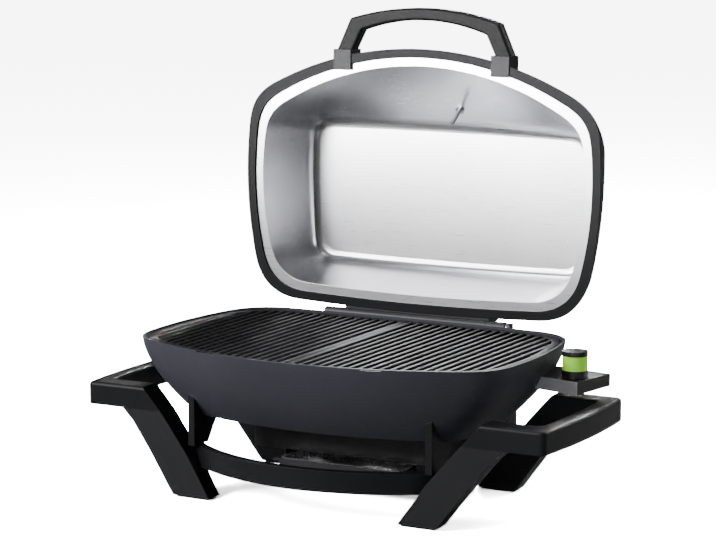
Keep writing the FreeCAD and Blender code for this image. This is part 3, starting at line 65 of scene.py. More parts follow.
class Graph:
    """A node tree that is built up from nodes and their inputs."""

    def __init__(self, tree: bpy.types.NodeTree) -> None:
        """Keeps the tree.

        Args:
            tree: The node tree to build in.
        """
        self.tree = tree

    def add(self, kind: str, inputs: dict[str | int, object] | None = None, **settings: object) -> bpy.types.Node:
        """Adds a node.

        Args:
            kind: The node's type name.
            inputs: Values or sockets for its inputs, by name or number.
            settings: The node's own properties.

        Returns:
            The new node.
        """
        node = self.tree.nodes.new(kind)
        for name, value in settings.items():
            setattr(node, name, value)
        for key, value in (inputs or {}).items():
            if isinstance(value, bpy.types.NodeSocket):
                self.tree.links.new(value, node.inputs[key])
            else:
                node.inputs[key].default_value = value
        return node

    def maths(self, operation: str, *terms: object) -> bpy.types.NodeSocket:
        """Combines one to three numbers or sockets, and returns the result's socket."""
        node = self.add("ShaderNodeMath", dict(enumerate(terms)), operation=operation)
        return node.outputs[0]

    def blend(self, share: object, first: object, second: object) -> bpy.types.NodeSocket:
        """Mixes two colours by a share, and returns the result's socket."""
        node = self.add("ShaderNodeMix", {0: share, 6: first, 7: second}, data_type="RGBA")
        return node.outputs[2]

    def span(self, value: object, low: object, high: object, bottom: float = 0.0, top: float = 1.0) -> object:
        """Maps a value that runs from bottom to top onto low to high, and returns the result's socket."""
        inputs = {"Value": value, "From Min": bottom, "From Max": top, "To Min": low, "To Max": high}
        return self.add("ShaderNodeMapRange", inputs).outputs[0]


class SocketKind(Enum):
    """The kinds of socket that a shared effect can have."""

    VALUE = "NodeSocketFloat"
    COLOUR = "NodeSocketColor"
    VECTOR = "NodeSocketVector"


class Effect(Graph):
    """A shared shader node group with named inputs and outputs."""

    def __init__(self, name: str, inputs: dict[str, SocketKind], outputs: dict[str, SocketKind]) -> None:
        """Makes an empty group.

        Args:
            name: The group's name.
            inputs: Its inputs and their kinds.
            outputs: Its outputs and their kinds.
        """
        super().__init__(bpy.data.node_groups.new(name, "ShaderNodeTree"))
        for label, kind in inputs.items():
            self.tree.interface.new_socket(name=label, in_out="INPUT", socket_type=kind.value)
        for label, kind in outputs.items():
            self.tree.interface.new_socket(name=label, in_out="OUTPUT", socket_type=kind.value)
        self.given = self.tree.nodes.new("NodeGroupInput").outputs
        self.result = self.tree.nodes.new("NodeGroupOutput").inputs

    def put(self, label: str, socket: bpy.types.NodeSocket) -> None:
        """Sends a socket to one of the group's outputs."""
        self.tree.links.new(socket, self.result[label])


def mottle_effect() -> Effect:
    """Builds soft patches of a second colour.

    Returns:
        The effect.
    """
    made = Effect(
        "mottle",
        {"Vector": SocketKind.VECTOR, "Scale": SocketKind.VALUE, "Base": SocketKind.COLOUR,
         "Tint": SocketKind.COLOUR},
        {"Colour": SocketKind.COLOUR, "Mask": SocketKind.VALUE},
    )
    noise = made.add("ShaderNodeTexNoise", {"Vector": made.given["Vector"], "Scale": made.given["Scale"],
                                            "Detail": 4.0, "Roughness": 0.55})
    mask = made.span(noise.outputs[0], 0.0, 1.0, 0.3, 0.7)
    made.put("Mask", mask)
    made.put("Colour", made.blend(mask, made.given["Base"], made.given["Tint"]))
    return made


def grain_effect() -> Effect:
    """Builds the fine grain of moulded plastic or a matt paint.

    Returns:
        The effect.
    """
    made = texture_effect("grain")
    noise = made.add("ShaderNodeTexNoise", {"Vector": made.given["Vector"], "Scale": made.given["Scale"],
                                            "Detail": 3.0, "Roughness": 0.6})
    finish_texture(made, noise.outputs[0])
    return made


def pebble_effect() -> Effect:
    """Builds the soft pebbly skin of a coated casting.

    Returns:
        The effect.
    """
    made = texture_effect("pebble")
    cells = made.add("ShaderNodeTexVoronoi", {"Vector": made.given["Vector"], "Scale": made.given["Scale"],
                                              "Smoothness": 0.8}, feature="SMOOTH_F1")
    noise = made.add("ShaderNodeTexNoise", {"Vector": made.given["Vector"], "Scale": made.given["Scale"],
                                            "Detail": 2.0})
    finish_texture(made, made.maths("MULTIPLY_ADD", cells.outputs[0], 0.6, noise.outputs[0]))
    return made


def brush_effect() -> Effect:
    """Builds long fine lines, as rolled or brushed metal has along X.

    Returns:
        The effect.
    """
    made = texture_effect("brush")
    stretched = made.add("ShaderNodeMapping", {"Vector": made.given["Vector"], "Scale": (0.03, 1.0, 1.0)})
    noise = made.add("ShaderNodeTexNoise", {"Vector": stretched.outputs[0], "Scale": made.given["Scale"],
                                            "Detail": 5.0, "Roughness": 0.7})
    finish_texture(made, noise.outputs[0])
    return made


def texture_effect(name: str) -> Effect:
    """Makes an empty group for a fine texture.

    Args:
        name: The group's name.

    Returns:
        The group.
    """
    return Effect(
        name,
        {"Vector": SocketKind.VECTOR, "Scale": SocketKind.VALUE, "Low": SocketKind.VALUE,
         "High": SocketKind.VALUE},
        {"Height": SocketKind.VALUE, "Roughness": SocketKind.VALUE},
    )


def finish_texture(made: Effect, height: bpy.types.NodeSocket) -> None:
    """Sends a texture's height out, and its roughness between the group's two limits.

    Args:
        made: The group.
        height: The texture's height.
    """
    made.put("Height", height)
    made.put("Roughness", made.span(height, made.given["Low"], made.given["High"], 0.3, 0.7))


def edge_effect() -> Effect:
    """Builds rounded edges and the paler wear that shows on them.

    Returns:
        The effect.
    """
    made = Effect(
        "edges",
        {"Radius": SocketKind.VALUE, "Colour": SocketKind.COLOUR, "Worn": SocketKind.COLOUR,
         "Amount": SocketKind.VALUE},
        {"Colour": SocketKind.COLOUR, "Normal": SocketKind.VECTOR},
    )
    rounded = made.add("ShaderNodeBevel", {"Radius": made.given["Radius"]}, samples=4)
    flat = made.add("ShaderNodeNewGeometry")
    facing = made.add("ShaderNodeVectorMath", {0: rounded.outputs[0], 1: flat.outputs["Normal"]},
                      operation="DOT_PRODUCT")
    mask = made.span(facing.outputs["Value"], 1.0, 0.0, 0.8, 0.995)
    share = made.maths("MULTIPLY", mask, made.given["Amount"])
    made.put("Colour", made.blend(share, made.given["Colour"], made.given["Worn"]))
    made.put("Normal", rounded.outputs[0])
    return made


class Texture(Enum):
    """The fine textures that a finish can have."""

    GRAIN = "grain"
    PEBBLE = "pebble"
    BRUSH = "brush"


class Effects:
    """The shared effects, each made once."""

    def __init__(self) -> None:
        """Builds every effect."""
        self.mottle = mottle_effect().tree
        self.edges = edge_effect().tree
        self.textures = {
            Texture.GRAIN: grain_effect().tree,
            Texture.PEBBLE: pebble_effect().tree,
            Texture.BRUSH: brush_effect().tree,
        }


EFFECTS = Effects()


# Finishes


@dataclass(frozen=True)
class Finish:
    """One finish: a mottled colour, a fine texture and worn edges.

    Attributes:
        name: The material's name.
        base: The main colour.
        tint: The colour of its soft patches.
        rough: The least and the greatest roughness.
        metallic: How metallic it is.
        texture: Its fine texture.
        scale: How many of the texture's features fit in a metre.
        relief: The height of the texture, in metres.
        patches: How many colour patches fit in a metre.
        edge: The radius that its edges seem to have, in metres.
        worn: The colour of worn edges.
        wear: How strongly the wear shows.
        coat: The weight of a clear coat.
        glow: The strength of the light that it gives.
        stretch: How the texture is stretched along each axis.
        shine: The strength of its plain reflections.
    """

    name: str
    base: Colour
    tint: Colour
    rough: tuple[float, float]
    metallic: float = 0.0
    texture: Texture = Texture.GRAIN
    scale: float = 900.0
    relief: float = 0.00008
    patches: float = 14.0
    edge: float = 0.0006
    worn: Colour = (0.2, 0.2, 0.21)
    wear: float = 0.25
    coat: float = 0.0
    glow: float = 0.0
    stretch: Colour = (1.0, 1.0, 1.0)
    shine: float = 0.5

    def build(self) -> bpy.types.Material:
        """Builds the material.

        Returns:
            The material.
        """
        material = bpy.data.materials.new(self.name)
        material.use_nodes = True
        graph = Graph(material.node_tree)
        shader = material.node_tree.nodes["Principled BSDF"]
        place = graph.add("ShaderNodeTexCoord").outputs["Object"]
        mapped = graph.add("ShaderNodeMapping", {"Vector": place, "Scale": self.stretch}).outputs[0]
        texture = graph.add("ShaderNodeGroup", node_tree=EFFECTS.textures[self.texture])
        self.fill(graph, texture, {"Vector": mapped, "Scale": self.scale, "Low": self.rough[0],
                                   "High": self.rough[1]})
        mottle = graph.add("ShaderNodeGroup", node_tree=EFFECTS.mottle)
        self.fill(graph, mottle, {"Vector": mapped, "Scale": self.patches, "Base": (*self.base, 1.0),
                                  "Tint": (*self.tint, 1.0)})
        edges = graph.add("ShaderNodeGroup", node_tree=EFFECTS.edges)
        self.fill(graph, edges, {"Radius": self.edge, "Colour": mottle.outputs["Colour"],
                                 "Worn": (*self.worn, 1.0), "Amount": self.wear})
        bump = graph.add("ShaderNodeBump", {"Height": texture.outputs["Height"], "Distance": self.relief,
                                            "Normal": edges.outputs["Normal"]})
        self.fill(graph, shader, {"Base Color": edges.outputs["Colour"],
                                  "Roughness": texture.outputs["Roughness"], "Normal": bump.outputs[0],
                                  "Metallic": self.metallic, "Coat Weight": self.coat,
                                  "Specular IOR Level": self.shine})
        if self.glow:
            self.fill(graph, shader, {"Emission Color": mottle.outputs["Colour"],
                                      "Emission Strength": self.glow})
        return material

    @staticmethod
    def fill(graph: Graph, node: bpy.types.Node, inputs: dict[str, object]) -> None:
        """Sets or links a node's inputs.

        Args:
            graph: The graph that the node is in.
            node: The node.
            inputs: Values or sockets, by the names of the inputs.
        """
        for name, value in inputs.items():
            if isinstance(value, bpy.types.NodeSocket):
                graph.tree.links.new(value, node.inputs[name])
            else:
                node.inputs[name].default_value = value


@dataclass(frozen=True)
class ClearGlass:
    """The gauge's clear glass."""

    name: str = "clear_glass"
    smear: tuple[float, float] = (0.02, 0.06)

    def build(self) -> bpy.types.Material:
        """Builds the material.

        Returns:
            The material.
        """
        material = bpy.data.materials.new(self.name)
        material.use_nodes = True
        graph = Graph(material.node_tree)
        shader = material.node_tree.nodes["Principled BSDF"]
        place = graph.add("ShaderNodeTexCoord").outputs["Object"]
        noise = graph.add("ShaderNodeTexNoise", {"Vector": place, "Scale": 60.0})
        Finish.fill(graph, shader, {"Base Color": (0.95, 0.98, 0.98, 1.0), "IOR": 1.5,
                                    "Transmission Weight": 1.0,
                                    "Roughness": graph.span(noise.outputs[0], *self.smear)})
        return material


FINISHES: dict[str, Finish | ClearGlass] = {
    "bowl_paint": Finish("charcoal_coating", (0.036, 0.036, 0.048), (0.046, 0.046, 0.06), (0.42, 0.52),
                         texture=Texture.PEBBLE, scale=700.0, relief=0.00006, patches=5.0, edge=0.001,
                         worn=(0.1, 0.1, 0.12), wear=0.3, shine=0.2),
    "lid_paint": Finish("black_coating", (0.006, 0.006, 0.007), (0.01, 0.01, 0.012), (0.48, 0.58),
                        texture=Texture.PEBBLE, scale=700.0, relief=0.00005, patches=5.0, edge=0.001,
                        worn=(0.03, 0.03, 0.034), wear=0.2, shine=0.16),
    "liner_metal": Finish("satin_liner", (0.74, 0.74, 0.76), (0.66, 0.66, 0.69), (0.26, 0.34), metallic=1.0,
                          texture=Texture.BRUSH, scale=900.0, relief=0.00002, patches=7.0, edge=0.001,
                          worn=(0.85, 0.85, 0.87), wear=0.3),
    "grid_iron": Finish("cast_iron_enamel", (0.008, 0.008, 0.009), (0.014, 0.014, 0.014), (0.4, 0.52),
                        texture=Texture.PEBBLE, scale=900.0, relief=0.00012, patches=20.0, edge=0.0011,
                        worn=(0.05, 0.05, 0.05), wear=0.3, shine=0.18),
    "element_metal": Finish("heated_sheath", (0.16, 0.15, 0.145), (0.1, 0.085, 0.08), (0.35, 0.55),
                            metallic=0.9, scale=1200.0, relief=0.00004, patches=30.0),
    "plain_steel": Finish("plain_steel", (0.5, 0.5, 0.51), (0.42, 0.42, 0.43), (0.3, 0.42), metallic=1.0,
                          texture=Texture.BRUSH, scale=700.0, relief=0.00002, worn=(0.7, 0.7, 0.7)),
    "dark_steel": Finish("painted_steel", (0.014, 0.014, 0.016), (0.024, 0.024, 0.026), (0.4, 0.55),
                         scale=1100.0, relief=0.00005, worn=(0.16, 0.16, 0.16), wear=0.3),
    "frame_plastic": Finish("frame_moulding", (0.006, 0.006, 0.007), (0.009, 0.009, 0.011), (0.38, 0.5),
                            scale=1400.0, relief=0.00006, patches=8.0, edge=0.0012,
                            worn=(0.04, 0.04, 0.045), wear=0.3, shine=0.2),
    "handle_plastic": Finish("handle_moulding", (0.005, 0.005, 0.0055), (0.008, 0.008, 0.0085), (0.4, 0.5),
                             scale=1400.0, relief=0.00006, patches=9.0, edge=0.0012,
                             worn=(0.03, 0.03, 0.03), wear=0.3, shine=0.08),
    "box_plastic": Finish("box_moulding", (0.008, 0.008, 0.009), (0.012, 0.012, 0.013), (0.36, 0.48),
                          scale=1500.0, relief=0.00005, edge=0.0009, worn=(0.05, 0.05, 0.055), wear=0.3, shine=0.4),
    "face_silver": Finish("silver_face", (0.42, 0.42, 0.45), (0.5, 0.5, 0.53), (0.3, 0.4), metallic=0.35,
                          texture=Texture.BRUSH, scale=1200.0, relief=0.00002, worn=(0.7, 0.7, 0.72)),
    "knob_black": Finish("knob_moulding", (0.012, 0.012, 0.013), (0.017, 0.017, 0.019), (0.2, 0.28),
                         scale=1500.0, relief=0.00002, edge=0.0009, worn=(0.12, 0.12, 0.12), coat=0.3),
    "band_green": Finish("lit_green_band", (0.24, 0.62, 0.03), (0.34, 0.72, 0.06), (0.2, 0.3), scale=600.0,
                         relief=0.00001, patches=40.0, worn=(0.5, 0.85, 0.2), coat=0.4, glow=0.35),
    "pad_rubber": Finish("pad_rubber", (0.015, 0.015, 0.015), (0.022, 0.022, 0.022), (0.7, 0.85),
                         scale=1600.0, relief=0.0001, wear=0.1),
    "foil": Finish("pressed_foil", (0.75, 0.75, 0.76), (0.65, 0.65, 0.67), (0.18, 0.3), metallic=1.0,
                   texture=Texture.PEBBLE, scale=260.0, relief=0.00015, patches=25.0, edge=0.00008,
                   worn=(0.85, 0.85, 0.86)),
    "screw_steel": Finish("plated_steel", (0.5, 0.5, 0.51), (0.4, 0.4, 0.41), (0.18, 0.28), metallic=1.0,
                          scale=1500.0, relief=0.00002, worn=(0.75, 0.75, 0.76)),
    "glass": ClearGlass(),
    "dial_white": Finish("dial_card", (0.8, 0.8, 0.77), (0.72, 0.72, 0.69), (0.45, 0.55), scale=900.0,
                         relief=0.00001, wear=0.0),
    "needle_red": Finish("needle_paint", (0.5, 0.03, 0.02), (0.42, 0.02, 0.015), (0.35, 0.45), scale=1500.0,
                         relief=0.00001, wear=0.1),
    "ceramic": Finish("pale_ceramic", (0.6, 0.56, 0.48), (0.52, 0.48, 0.4), (0.5, 0.65), scale=1300.0,
                      relief=0.00004, wear=0.15),
}


class Wardrobe:
    """Builds each finish once and puts it on nodes and pieces."""

    def __init__(self) -> None:
        """Builds the material of every slot."""
        self.materials = {slot: finish.build() for slot, finish in FINISHES.items()}

    def dress_nodes(self) -> None:
        """Gives every CAD node the finish of its material slot."""
        for entry in frame["record"]["subparts"]:
            thing = frame["nodes"][entry["node"]]
            material = self.materials[entry["material_slot"]]
            if not thing.data.materials:
                thing.data.materials.append(material)
            for slot in thing.material_slots:
                slot.material = material
            LOG.info("node %s wears %s", thing.name, material.name)

    def piece(self, name: str, mesh: bmesh.types.BMesh, body: str, slot: str,
              replaced: tuple[str, ...] = (), crease: float = 35.0) -> bpy.types.Object:
        """Makes a finished piece from a bmesh.

        Args:
            name: The piece's name.
            mesh: Its shape, in place, which is freed.
            body: The CAD body that it rides on.
            slot: The record's material slot that it takes its finish from.
            replaced: The CAD nodes that it stands for.
            crease: The angle in degrees above which its edges stay sharp.

        Returns:
            The new object.
        """
        data = bpy.data.meshes.new(name)
        mesh.to_mesh(data)
        mesh.free()
        data.shade_smooth()
        data.set_sharp_from_angle(angle=math.radians(crease))
        data.materials.append(self.materials[slot])
        thing = bpy.data.objects.new(name, data)
        bpy.context.scene.collection.objects.link(thing)
        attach(thing, body)
        if replaced:
            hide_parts(*replaced)
        LOG.info("piece %s: %d faces on %s", name, len(data.polygons), body)
        return thing


# Shapes


def merged(node: str, flat: float = 0.5) -> bmesh.types.BMesh:
    """Copies a CAD node's mesh with its loose triangles joined and its flat areas made whole.

    Args:
        node: The node's name.
        flat: The angle in degrees under which neighbours count as one flat face.

    Returns:
        The copy.
    """
    mesh = bmesh.new()
    mesh.from_mesh(frame["nodes"][node].data)
    bmesh.ops.remove_doubles(mesh, verts=mesh.verts, dist=0.002 * MM)
    bmesh.ops.dissolve_limit(mesh, angle_limit=math.radians(flat), verts=mesh.verts, edges=mesh.edges)
    return mesh


def sharp_edges(mesh: bmesh.types.BMesh, angle: float = 30.0) -> list[bmesh.types.BMEdge]:
    """Lists the convex edges whose faces meet at more than an angle in degrees."""
    limit = math.radians(angle)
    return [edge for edge in mesh.edges if edge.is_manifold and edge.calc_face_angle_signed(0.0) > limit]


def soften(mesh: bmesh.types.BMesh, width: float, segments: int = 2, angle: float = 30.0) -> None:
    """Rounds a mesh's sharp edges.

    Args:
        mesh: The mesh.
        width: The width of the rounding, in metres.
        segments: Its number of faces.
        angle: The angle in degrees above which an edge counts as sharp.
    """
    bmesh.ops.bevel(mesh, geom=sharp_edges(mesh, angle), offset=width, offset_type="OFFSET", affect="EDGES",
                    segments=segments, profile=0.5, material=-1, clamp_overlap=True)


def islands(node: str) -> list[tuple[Vector, Vector]]:
    """Finds the separate solids of a CAD node.

    Args:
        node: The node's name.

    Returns:
        The lowest and the highest corner of each solid.
    """
    mesh = merged(node)
    found = []
    waiting = set(mesh.verts)
    while waiting:
        edge_of = [waiting.pop()]
        cluster = []
        while edge_of:
            vertex = edge_of.pop()
            cluster.append(vertex.co.copy())
            for edge in vertex.link_edges:
                other = edge.other_vert(vertex)
                if other in waiting:
                    waiting.remove(other)
                    edge_of.append(other)
        low = Vector([min(point[axis] for point in cluster) for axis in range(3)])
        high = Vector([max(point[axis] for point in cluster) for axis in range(3)])
        found.append((low, high))
    mesh.free()
    return sorted(found, key=lambda box: tuple(box[0]))


def drawn_up(mesh: bmesh.types.BMesh, face: bmesh.types.BMFace) -> bmesh.types.BMFace:
    """Extrudes a face in its own place, and leaves nothing inside the new walls.

    Args:
        mesh: The mesh.
        face: The face. One that stands alone stays as the floor of the new walls.

    Returns:
        The face at the end of the new walls.
    """
    alone = all(edge.is_boundary for edge in face.edges)
    made = bmesh.ops.extrude_face_region(mesh, geom=[face])["geom"]
    if face.is_valid and not alone:
        bmesh.ops.delete(mesh, geom=[face], context="FACES_ONLY")
    return next(part for part in made if isinstance(part, bmesh.types.BMFace))


def turned_to(axis: Vector, place: Vector) -> Matrix:
    """Gives the transform that lays local +Z along an axis at a place."""
    return Matrix.Translation(place) @ axis.to_track_quat("Z", "Y").to_matrix().to_4x4()


@dataclass
class ScrewHead:
    """A domed screw head with a cross recess, at the origin, facing +Z.

    Attributes:
        radius: Its radius.
        height: Its height.
        sides: How many corners its outline has.
    """

    radius: float
    height: float
    sides: int = 24

    def add_to(self, mesh: bmesh.types.BMesh, place: Matrix) -> None:
        """Adds the head to a mesh.

        Args:
            mesh: The mesh.
            place: Where the head goes.
        """
        head = bmesh.new()
        base = bmesh.ops.create_circle(head, segments=self.sides, radius=self.radius, cap_ends=True)["verts"]
        face = base[0].link_faces[0]
        rings = ((1.0, 0.45), (0.93, 0.25), (0.8, 0.2), (0.62, 0.1))
        for share, rise in rings:
            face = drawn_up(head, face)
            corners = list(face.verts)
            now = corners[0].co.xy.length / self.radius
            bmesh.ops.scale(head, verts=corners, vec=(share / now, share / now, 1.0))
            bmesh.ops.translate(head, verts=corners, vec=(0.0, 0.0, rise * self.height))
        self.recess(head, face)
        bmesh.ops.recalc_face_normals(head, faces=head.faces)
        bmesh.ops.transform(head, matrix=place, verts=head.verts)
        joined = bpy.data.meshes.new("screw_head")
        head.to_mesh(joined)
        head.free()
        mesh.from_mesh(joined)
        bpy.data.meshes.remove(joined)

    def recess(self, head: bmesh.types.BMesh, face: bmesh.types.BMFace) -> None:
        """Sinks a cross into the top of the head.

        Args:
            head: The head's mesh.
            face: Its top face.
        """
        face = drawn_up(head, face)
        for corner in face.verts:
            turn = math.atan2(corner.co.y, corner.co.x) % (math.pi / 2)
            on_arm = min(turn, math.pi / 2 - turn) < math.radians(17)
            reach = self.radius * (0.55 if on_arm else 0.2)
            corner.co.xy = corner.co.xy.normalized() * reach
        floor = drawn_up(head, face)
        bmesh.ops.scale(head, verts=list(floor.verts), vec=(0.85, 0.85, 1.0))
        bmesh.ops.translate(head, verts=list(floor.verts), vec=(0.0, 0.0, -0.55 * self.height))


# Sub-assemblies


@dataclass
class Fasteners:
    """The screws that show, each with a domed head and a cross recess.

    Attributes:
        lid_axis: The way the hinge leaf's screws face with the lid open.
        sunk: How far each head sits in what it holds.
    """

    lid_axis: Vector = field(default_factory=lambda: Vector((0.0, -0.0305, -0.9995)))
    sunk: float = 0.1 * MM

    def build(self, wardrobe: Wardrobe) -> None:
        """Makes the four groups of screws.

        Args:
            wardrobe: The finishes.
        """
        back = Vector((0.0, 1.0, 0.0))
        down = Vector((0.0, 0.0, -1.0))
        self.group(wardrobe, "leg_screws", "base", lambda low: down)
        self.group(wardrobe, "control_screws", "base", lambda low: down)
        self.group(wardrobe, "hinge_bracket_screws", "base", lambda low: back)
        self.group(wardrobe, "hinge_leaf_screws", "lid", lambda low: self.lid_axis)

    def group(self, wardrobe: Wardrobe, node: str, body: str, facing: object) -> None:
        """Makes one group of screws in place of a CAD node.

        Args:
            wardrobe: The finishes.
            node: The CAD node.
            body: The body that it rides on.
            facing: Gives the way that a screw faces, from its lowest corner.
        """
        mesh = bmesh.new()
        for low, high in islands(node):
            middle = (low + high) / 2
            axis = facing(low)
            spans = high - low
            height = sum(abs(axis[index]) * spans[index] for index in range(3))
            height = min(spans) if height > max(spans) * 0.99 else height
            start = middle - axis * (min(spans) / 2 + self.sunk)
            radius = max(spans) / 2
            ScrewHead(radius, min(spans)).add_to(mesh, turned_to(axis, start))
        wardrobe.piece(f"{node}_crossed", mesh, body, "screw_steel", (node,))


@dataclass
class CookingGrids:
    """The two cast grids, with rounded bars.

    Attributes:
        rounding: The rounding of their edges.
    """

    rounding: float = 1.1 * MM

    def build(self, wardrobe: Wardrobe) -> None:
        """Makes both grids.

        Args:
            wardrobe: The finishes.
        """
        for side in ("left", "right"):
            node = f"cooking_grid_{side}"
            mesh = merged(node)
            soften(mesh, self.rounding, 2, 40.0)
            wardrobe.piece(f"cast_grid_{side}", mesh, f"grid_{side}", "grid_iron", (node,))


@dataclass
class FoilPan:
    """The pressed foil pan in the tray, with fluted walls and a rolled rim.

    Attributes:
        rim: The width of its rim.
        corner: The radius of its corners.
        taper: How much narrower each side is at the floor.
        pitch: The length of one flute.
        flute: The depth of the flutes.
        roll: The height of the roll at the rim's edge.
        foil: The thickness of the foil.
    """

    rim: float = 4.6 * MM
    corner: float = 12.0 * MM
    taper: float = 3.0 * MM
    pitch: float = 7.0 * MM
    flute: float = 1.1 * MM
    roll: float = 0.7 * MM
    foil: float = 0.25 * MM

    def build(self, wardrobe: Wardrobe) -> None:
        """Makes the pan.

        Args:
            wardrobe: The finishes.
        """
        low, high = (Vector(corner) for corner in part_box("drip_pan"))
        middle = (low + high) / 2
        half = (high - low) / 2
        rise = high.z - low.z - self.foil
        mesh = bmesh.new()
        face = self.floor(mesh, half, Matrix.Translation((middle.x, middle.y, low.z + self.foil)))
        shares = (0.06, 0.14, 0.8, 0.9, 1.0)
        flutes = (0.0, 1.0, 1.0, 0.0, 0.0)
        inner = half.x - self.rim - self.taper
        for share, depth in zip(shares, flutes):
            face = self.lift(mesh, face, low.z + share * rise, inner + share * self.taper)
            for corner in list(face.verts)[::2]:
                away = Vector((corner.co.x - middle.x, corner.co.y - middle.y, 0.0)).normalized()
                corner.co -= away * depth * self.flute
        face = self.lift(mesh, face, low.z + rise, half.x)
        face = self.lift(mesh, face, low.z + rise - self.roll, half.x)
        bmesh.ops.delete(mesh, geom=[face], context="FACES_ONLY")
        bmesh.ops.recalc_face_normals(mesh, faces=mesh.faces)
        bmesh.ops.solidify(mesh, geom=mesh.faces[:], thickness=self.foil)
        wardrobe.piece("fluted_pan", mesh, "tray", "foil", ("drip_pan",), 50.0)

    def floor(self, mesh: bmesh.types.BMesh, half: Vector, place: Matrix) -> bmesh.types.BMFace:
        """Makes the pan's floor, with round corners and edges that are divided for the flutes.

        Args:
            mesh: The mesh.
            half: Half the pan's width and depth over the rim.
            place: Where the middle of the floor goes.

        Returns:
            The floor's face.
        """
        inset = self.rim + self.taper
        bmesh.ops.create_grid(mesh, x_segments=1, y_segments=1, size=1.0)
        bmesh.ops.scale(mesh, verts=mesh.verts, vec=(half.x - inset, half.y - inset, 1.0))
        bmesh.ops.transform(mesh, matrix=place, verts=mesh.verts)
        bmesh.ops.bevel(mesh, geom=mesh.verts, offset=self.corner, offset_type="OFFSET", affect="VERTICES",
                        segments=5, profile=0.5, material=-1)
        for edge in [edge for edge in mesh.edges if edge.calc_length() > 2 * self.pitch]:
            cuts = 2 * round(edge.calc_length() / self.pitch) - 1
            bmesh.ops.subdivide_edges(mesh, edges=[edge], cuts=cuts)
        return next(iter(mesh.faces))

    @staticmethod
    def lift(mesh: bmesh.types.BMesh, face: bmesh.types.BMFace, height: float, reach: float) -> bmesh.types.BMFace:
        """Draws a face up or down to a height and widens it by the same width all round.

        Args:
            mesh: The mesh.
            face: The face.
            height: Its new height.
            reach: Its new half width across.

        Returns:
            The face at its new place.
        """
        moved = drawn_up(mesh, face)
        xs = [corner.co.x for corner in moved.verts]
        ys = [corner.co.y for corner in moved.verts]
        middle = Vector(((min(xs) + max(xs)) / 2, (min(ys) + max(ys)) / 2, 0.0))
        wide = (max(xs) - min(xs)) / 2
        deep = (max(ys) - min(ys)) / 2
        grown = (reach / wide, (deep + reach - wide) / deep, 1.0)
        bmesh.ops.scale(mesh, verts=list(moved.verts), vec=grown, space=Matrix.Translation(-middle))
        for corner in moved.verts:
            corner.co.z = height
        return moved


@dataclass
class Marks:
    """Fine raised marks: a scale round the knob and the gauge, and the knob's pointer.

    Attributes:
        steps: How many steps each scale has.
        sweep: The angle that each scale fills, in degrees.
        height: How far the marks stand up.
        width: The width of a mark.
    """

    steps: int = 10
    sweep: float = 270.0
    height: float = 0.15 * MM
    width: float = 0.8 * MM

    def build(self, wardrobe: Wardrobe) -> None:
        """Makes the marks.

        Args:
            wardrobe: The finishes.
        """
        joints = {joint["name"]: joint for joint in frame["joints"]}
        knob = Vector(joints["knob_turn"]["pos_m"])
        up = Vector((0.0, 0.0, 1.0))
        start = Vector((-1.0, -1.0, 0.0)).normalized()
        scale = bmesh.new()
        self.scale(scale, knob, up, start, 20.5 * MM, 3.0 * MM)
        wardrobe.piece("knob_scale", scale, "base", "dial_white")
        cap = Vector((knob.x, knob.y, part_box("knob_cap")[1][2]))
        pointer = bmesh.new()
        self.mark(pointer, cap, up, start, 7.0 * MM, 9.0 * MM, 1.6)
        wardrobe.piece("knob_pointer", pointer, "knob", "dial_white")
        seat = Vector(joints["gauge_needle_turn"]["pos_m"])
        axis = Vector(joints["gauge_needle_turn"]["axis"]).normalized()
        needle = frame["nodes"]["gauge_needle"].data.vertices
        tip = max((vertex.co for vertex in needle), key=lambda place: (place - seat).length)
        along = (tip - seat) - axis * (tip - seat).dot(axis)
        dial = bmesh.new()
        self.scale(dial, seat + axis * 3.6 * MM, axis, along.normalized(), 15.6 * MM, 2.6 * MM)
        wardrobe.piece("gauge_scale", dial, "lid", "knob_black")

    def scale(self, mesh: bmesh.types.BMesh, centre: Vector, axis: Vector, start: Vector, reach: float,
              length: float) -> None:
        """Makes a round scale of long and short marks.

        Args:
            mesh: The mesh.
            centre: The middle of the scale.
            axis: The way that it faces.
            start: The way to its first mark, from which it runs clockwise.
            reach: The distance of the marks from the middle.
            length: The length of the long marks.
        """
        for step in range(self.steps + 1):
            turn = Matrix.Rotation(math.radians(-self.sweep * step / self.steps), 3, axis)
            share = 1.0 if step % 2 == 0 else 0.55
            self.mark(mesh, centre, axis, turn @ start, reach, length * share, 1.0)

    def mark(self, mesh: bmesh.types.BMesh, centre: Vector, axis: Vector, way: Vector, reach: float,
             length: float, heavy: float) -> None:
        """Makes one raised mark with bevelled edges.

        Args:
            mesh: The mesh.
            centre: The middle of its scale.
            axis: The way that it faces.
            way: The way out from the middle.
            reach: The distance of its inner end from the middle.
            length: Its length.
            heavy: How many times as wide as a plain mark it is.
        """
        across = axis.cross(way)
        turn = Matrix((way, across, axis)).transposed().to_4x4()
        place = centre + way * (reach + length / 2) + axis * self.height / 2
        size = Matrix.Diagonal((length, self.width * heavy, self.height, 1.0))
        made = bmesh.ops.create_cube(mesh, size=1.0, matrix=Matrix.Translation(place) @ turn @ size)["verts"]
        edges = {edge for corner in made for edge in corner.link_edges}
        bmesh.ops.bevel(mesh, geom=list(edges), offset=0.3 * self.height, offset_type="OFFSET", affect="EDGES",
                        segments=1, profile=0.5, material=-1)


# Studio


@dataclass(frozen=True)
class Lamp:
    """A soft lamp.

    Attributes:
        name: Its name.
        place: Where it stands, in metres.
        aim: The point that it faces.
        width: Its width.
        height: Its height.
        power: Its power in watts.
        spread: The angle that its light fills, in degrees.
    """

    name: str
    place: Colour
    aim: Colour
    width: float
    height: float
    power: float
    spread: float = 180.0


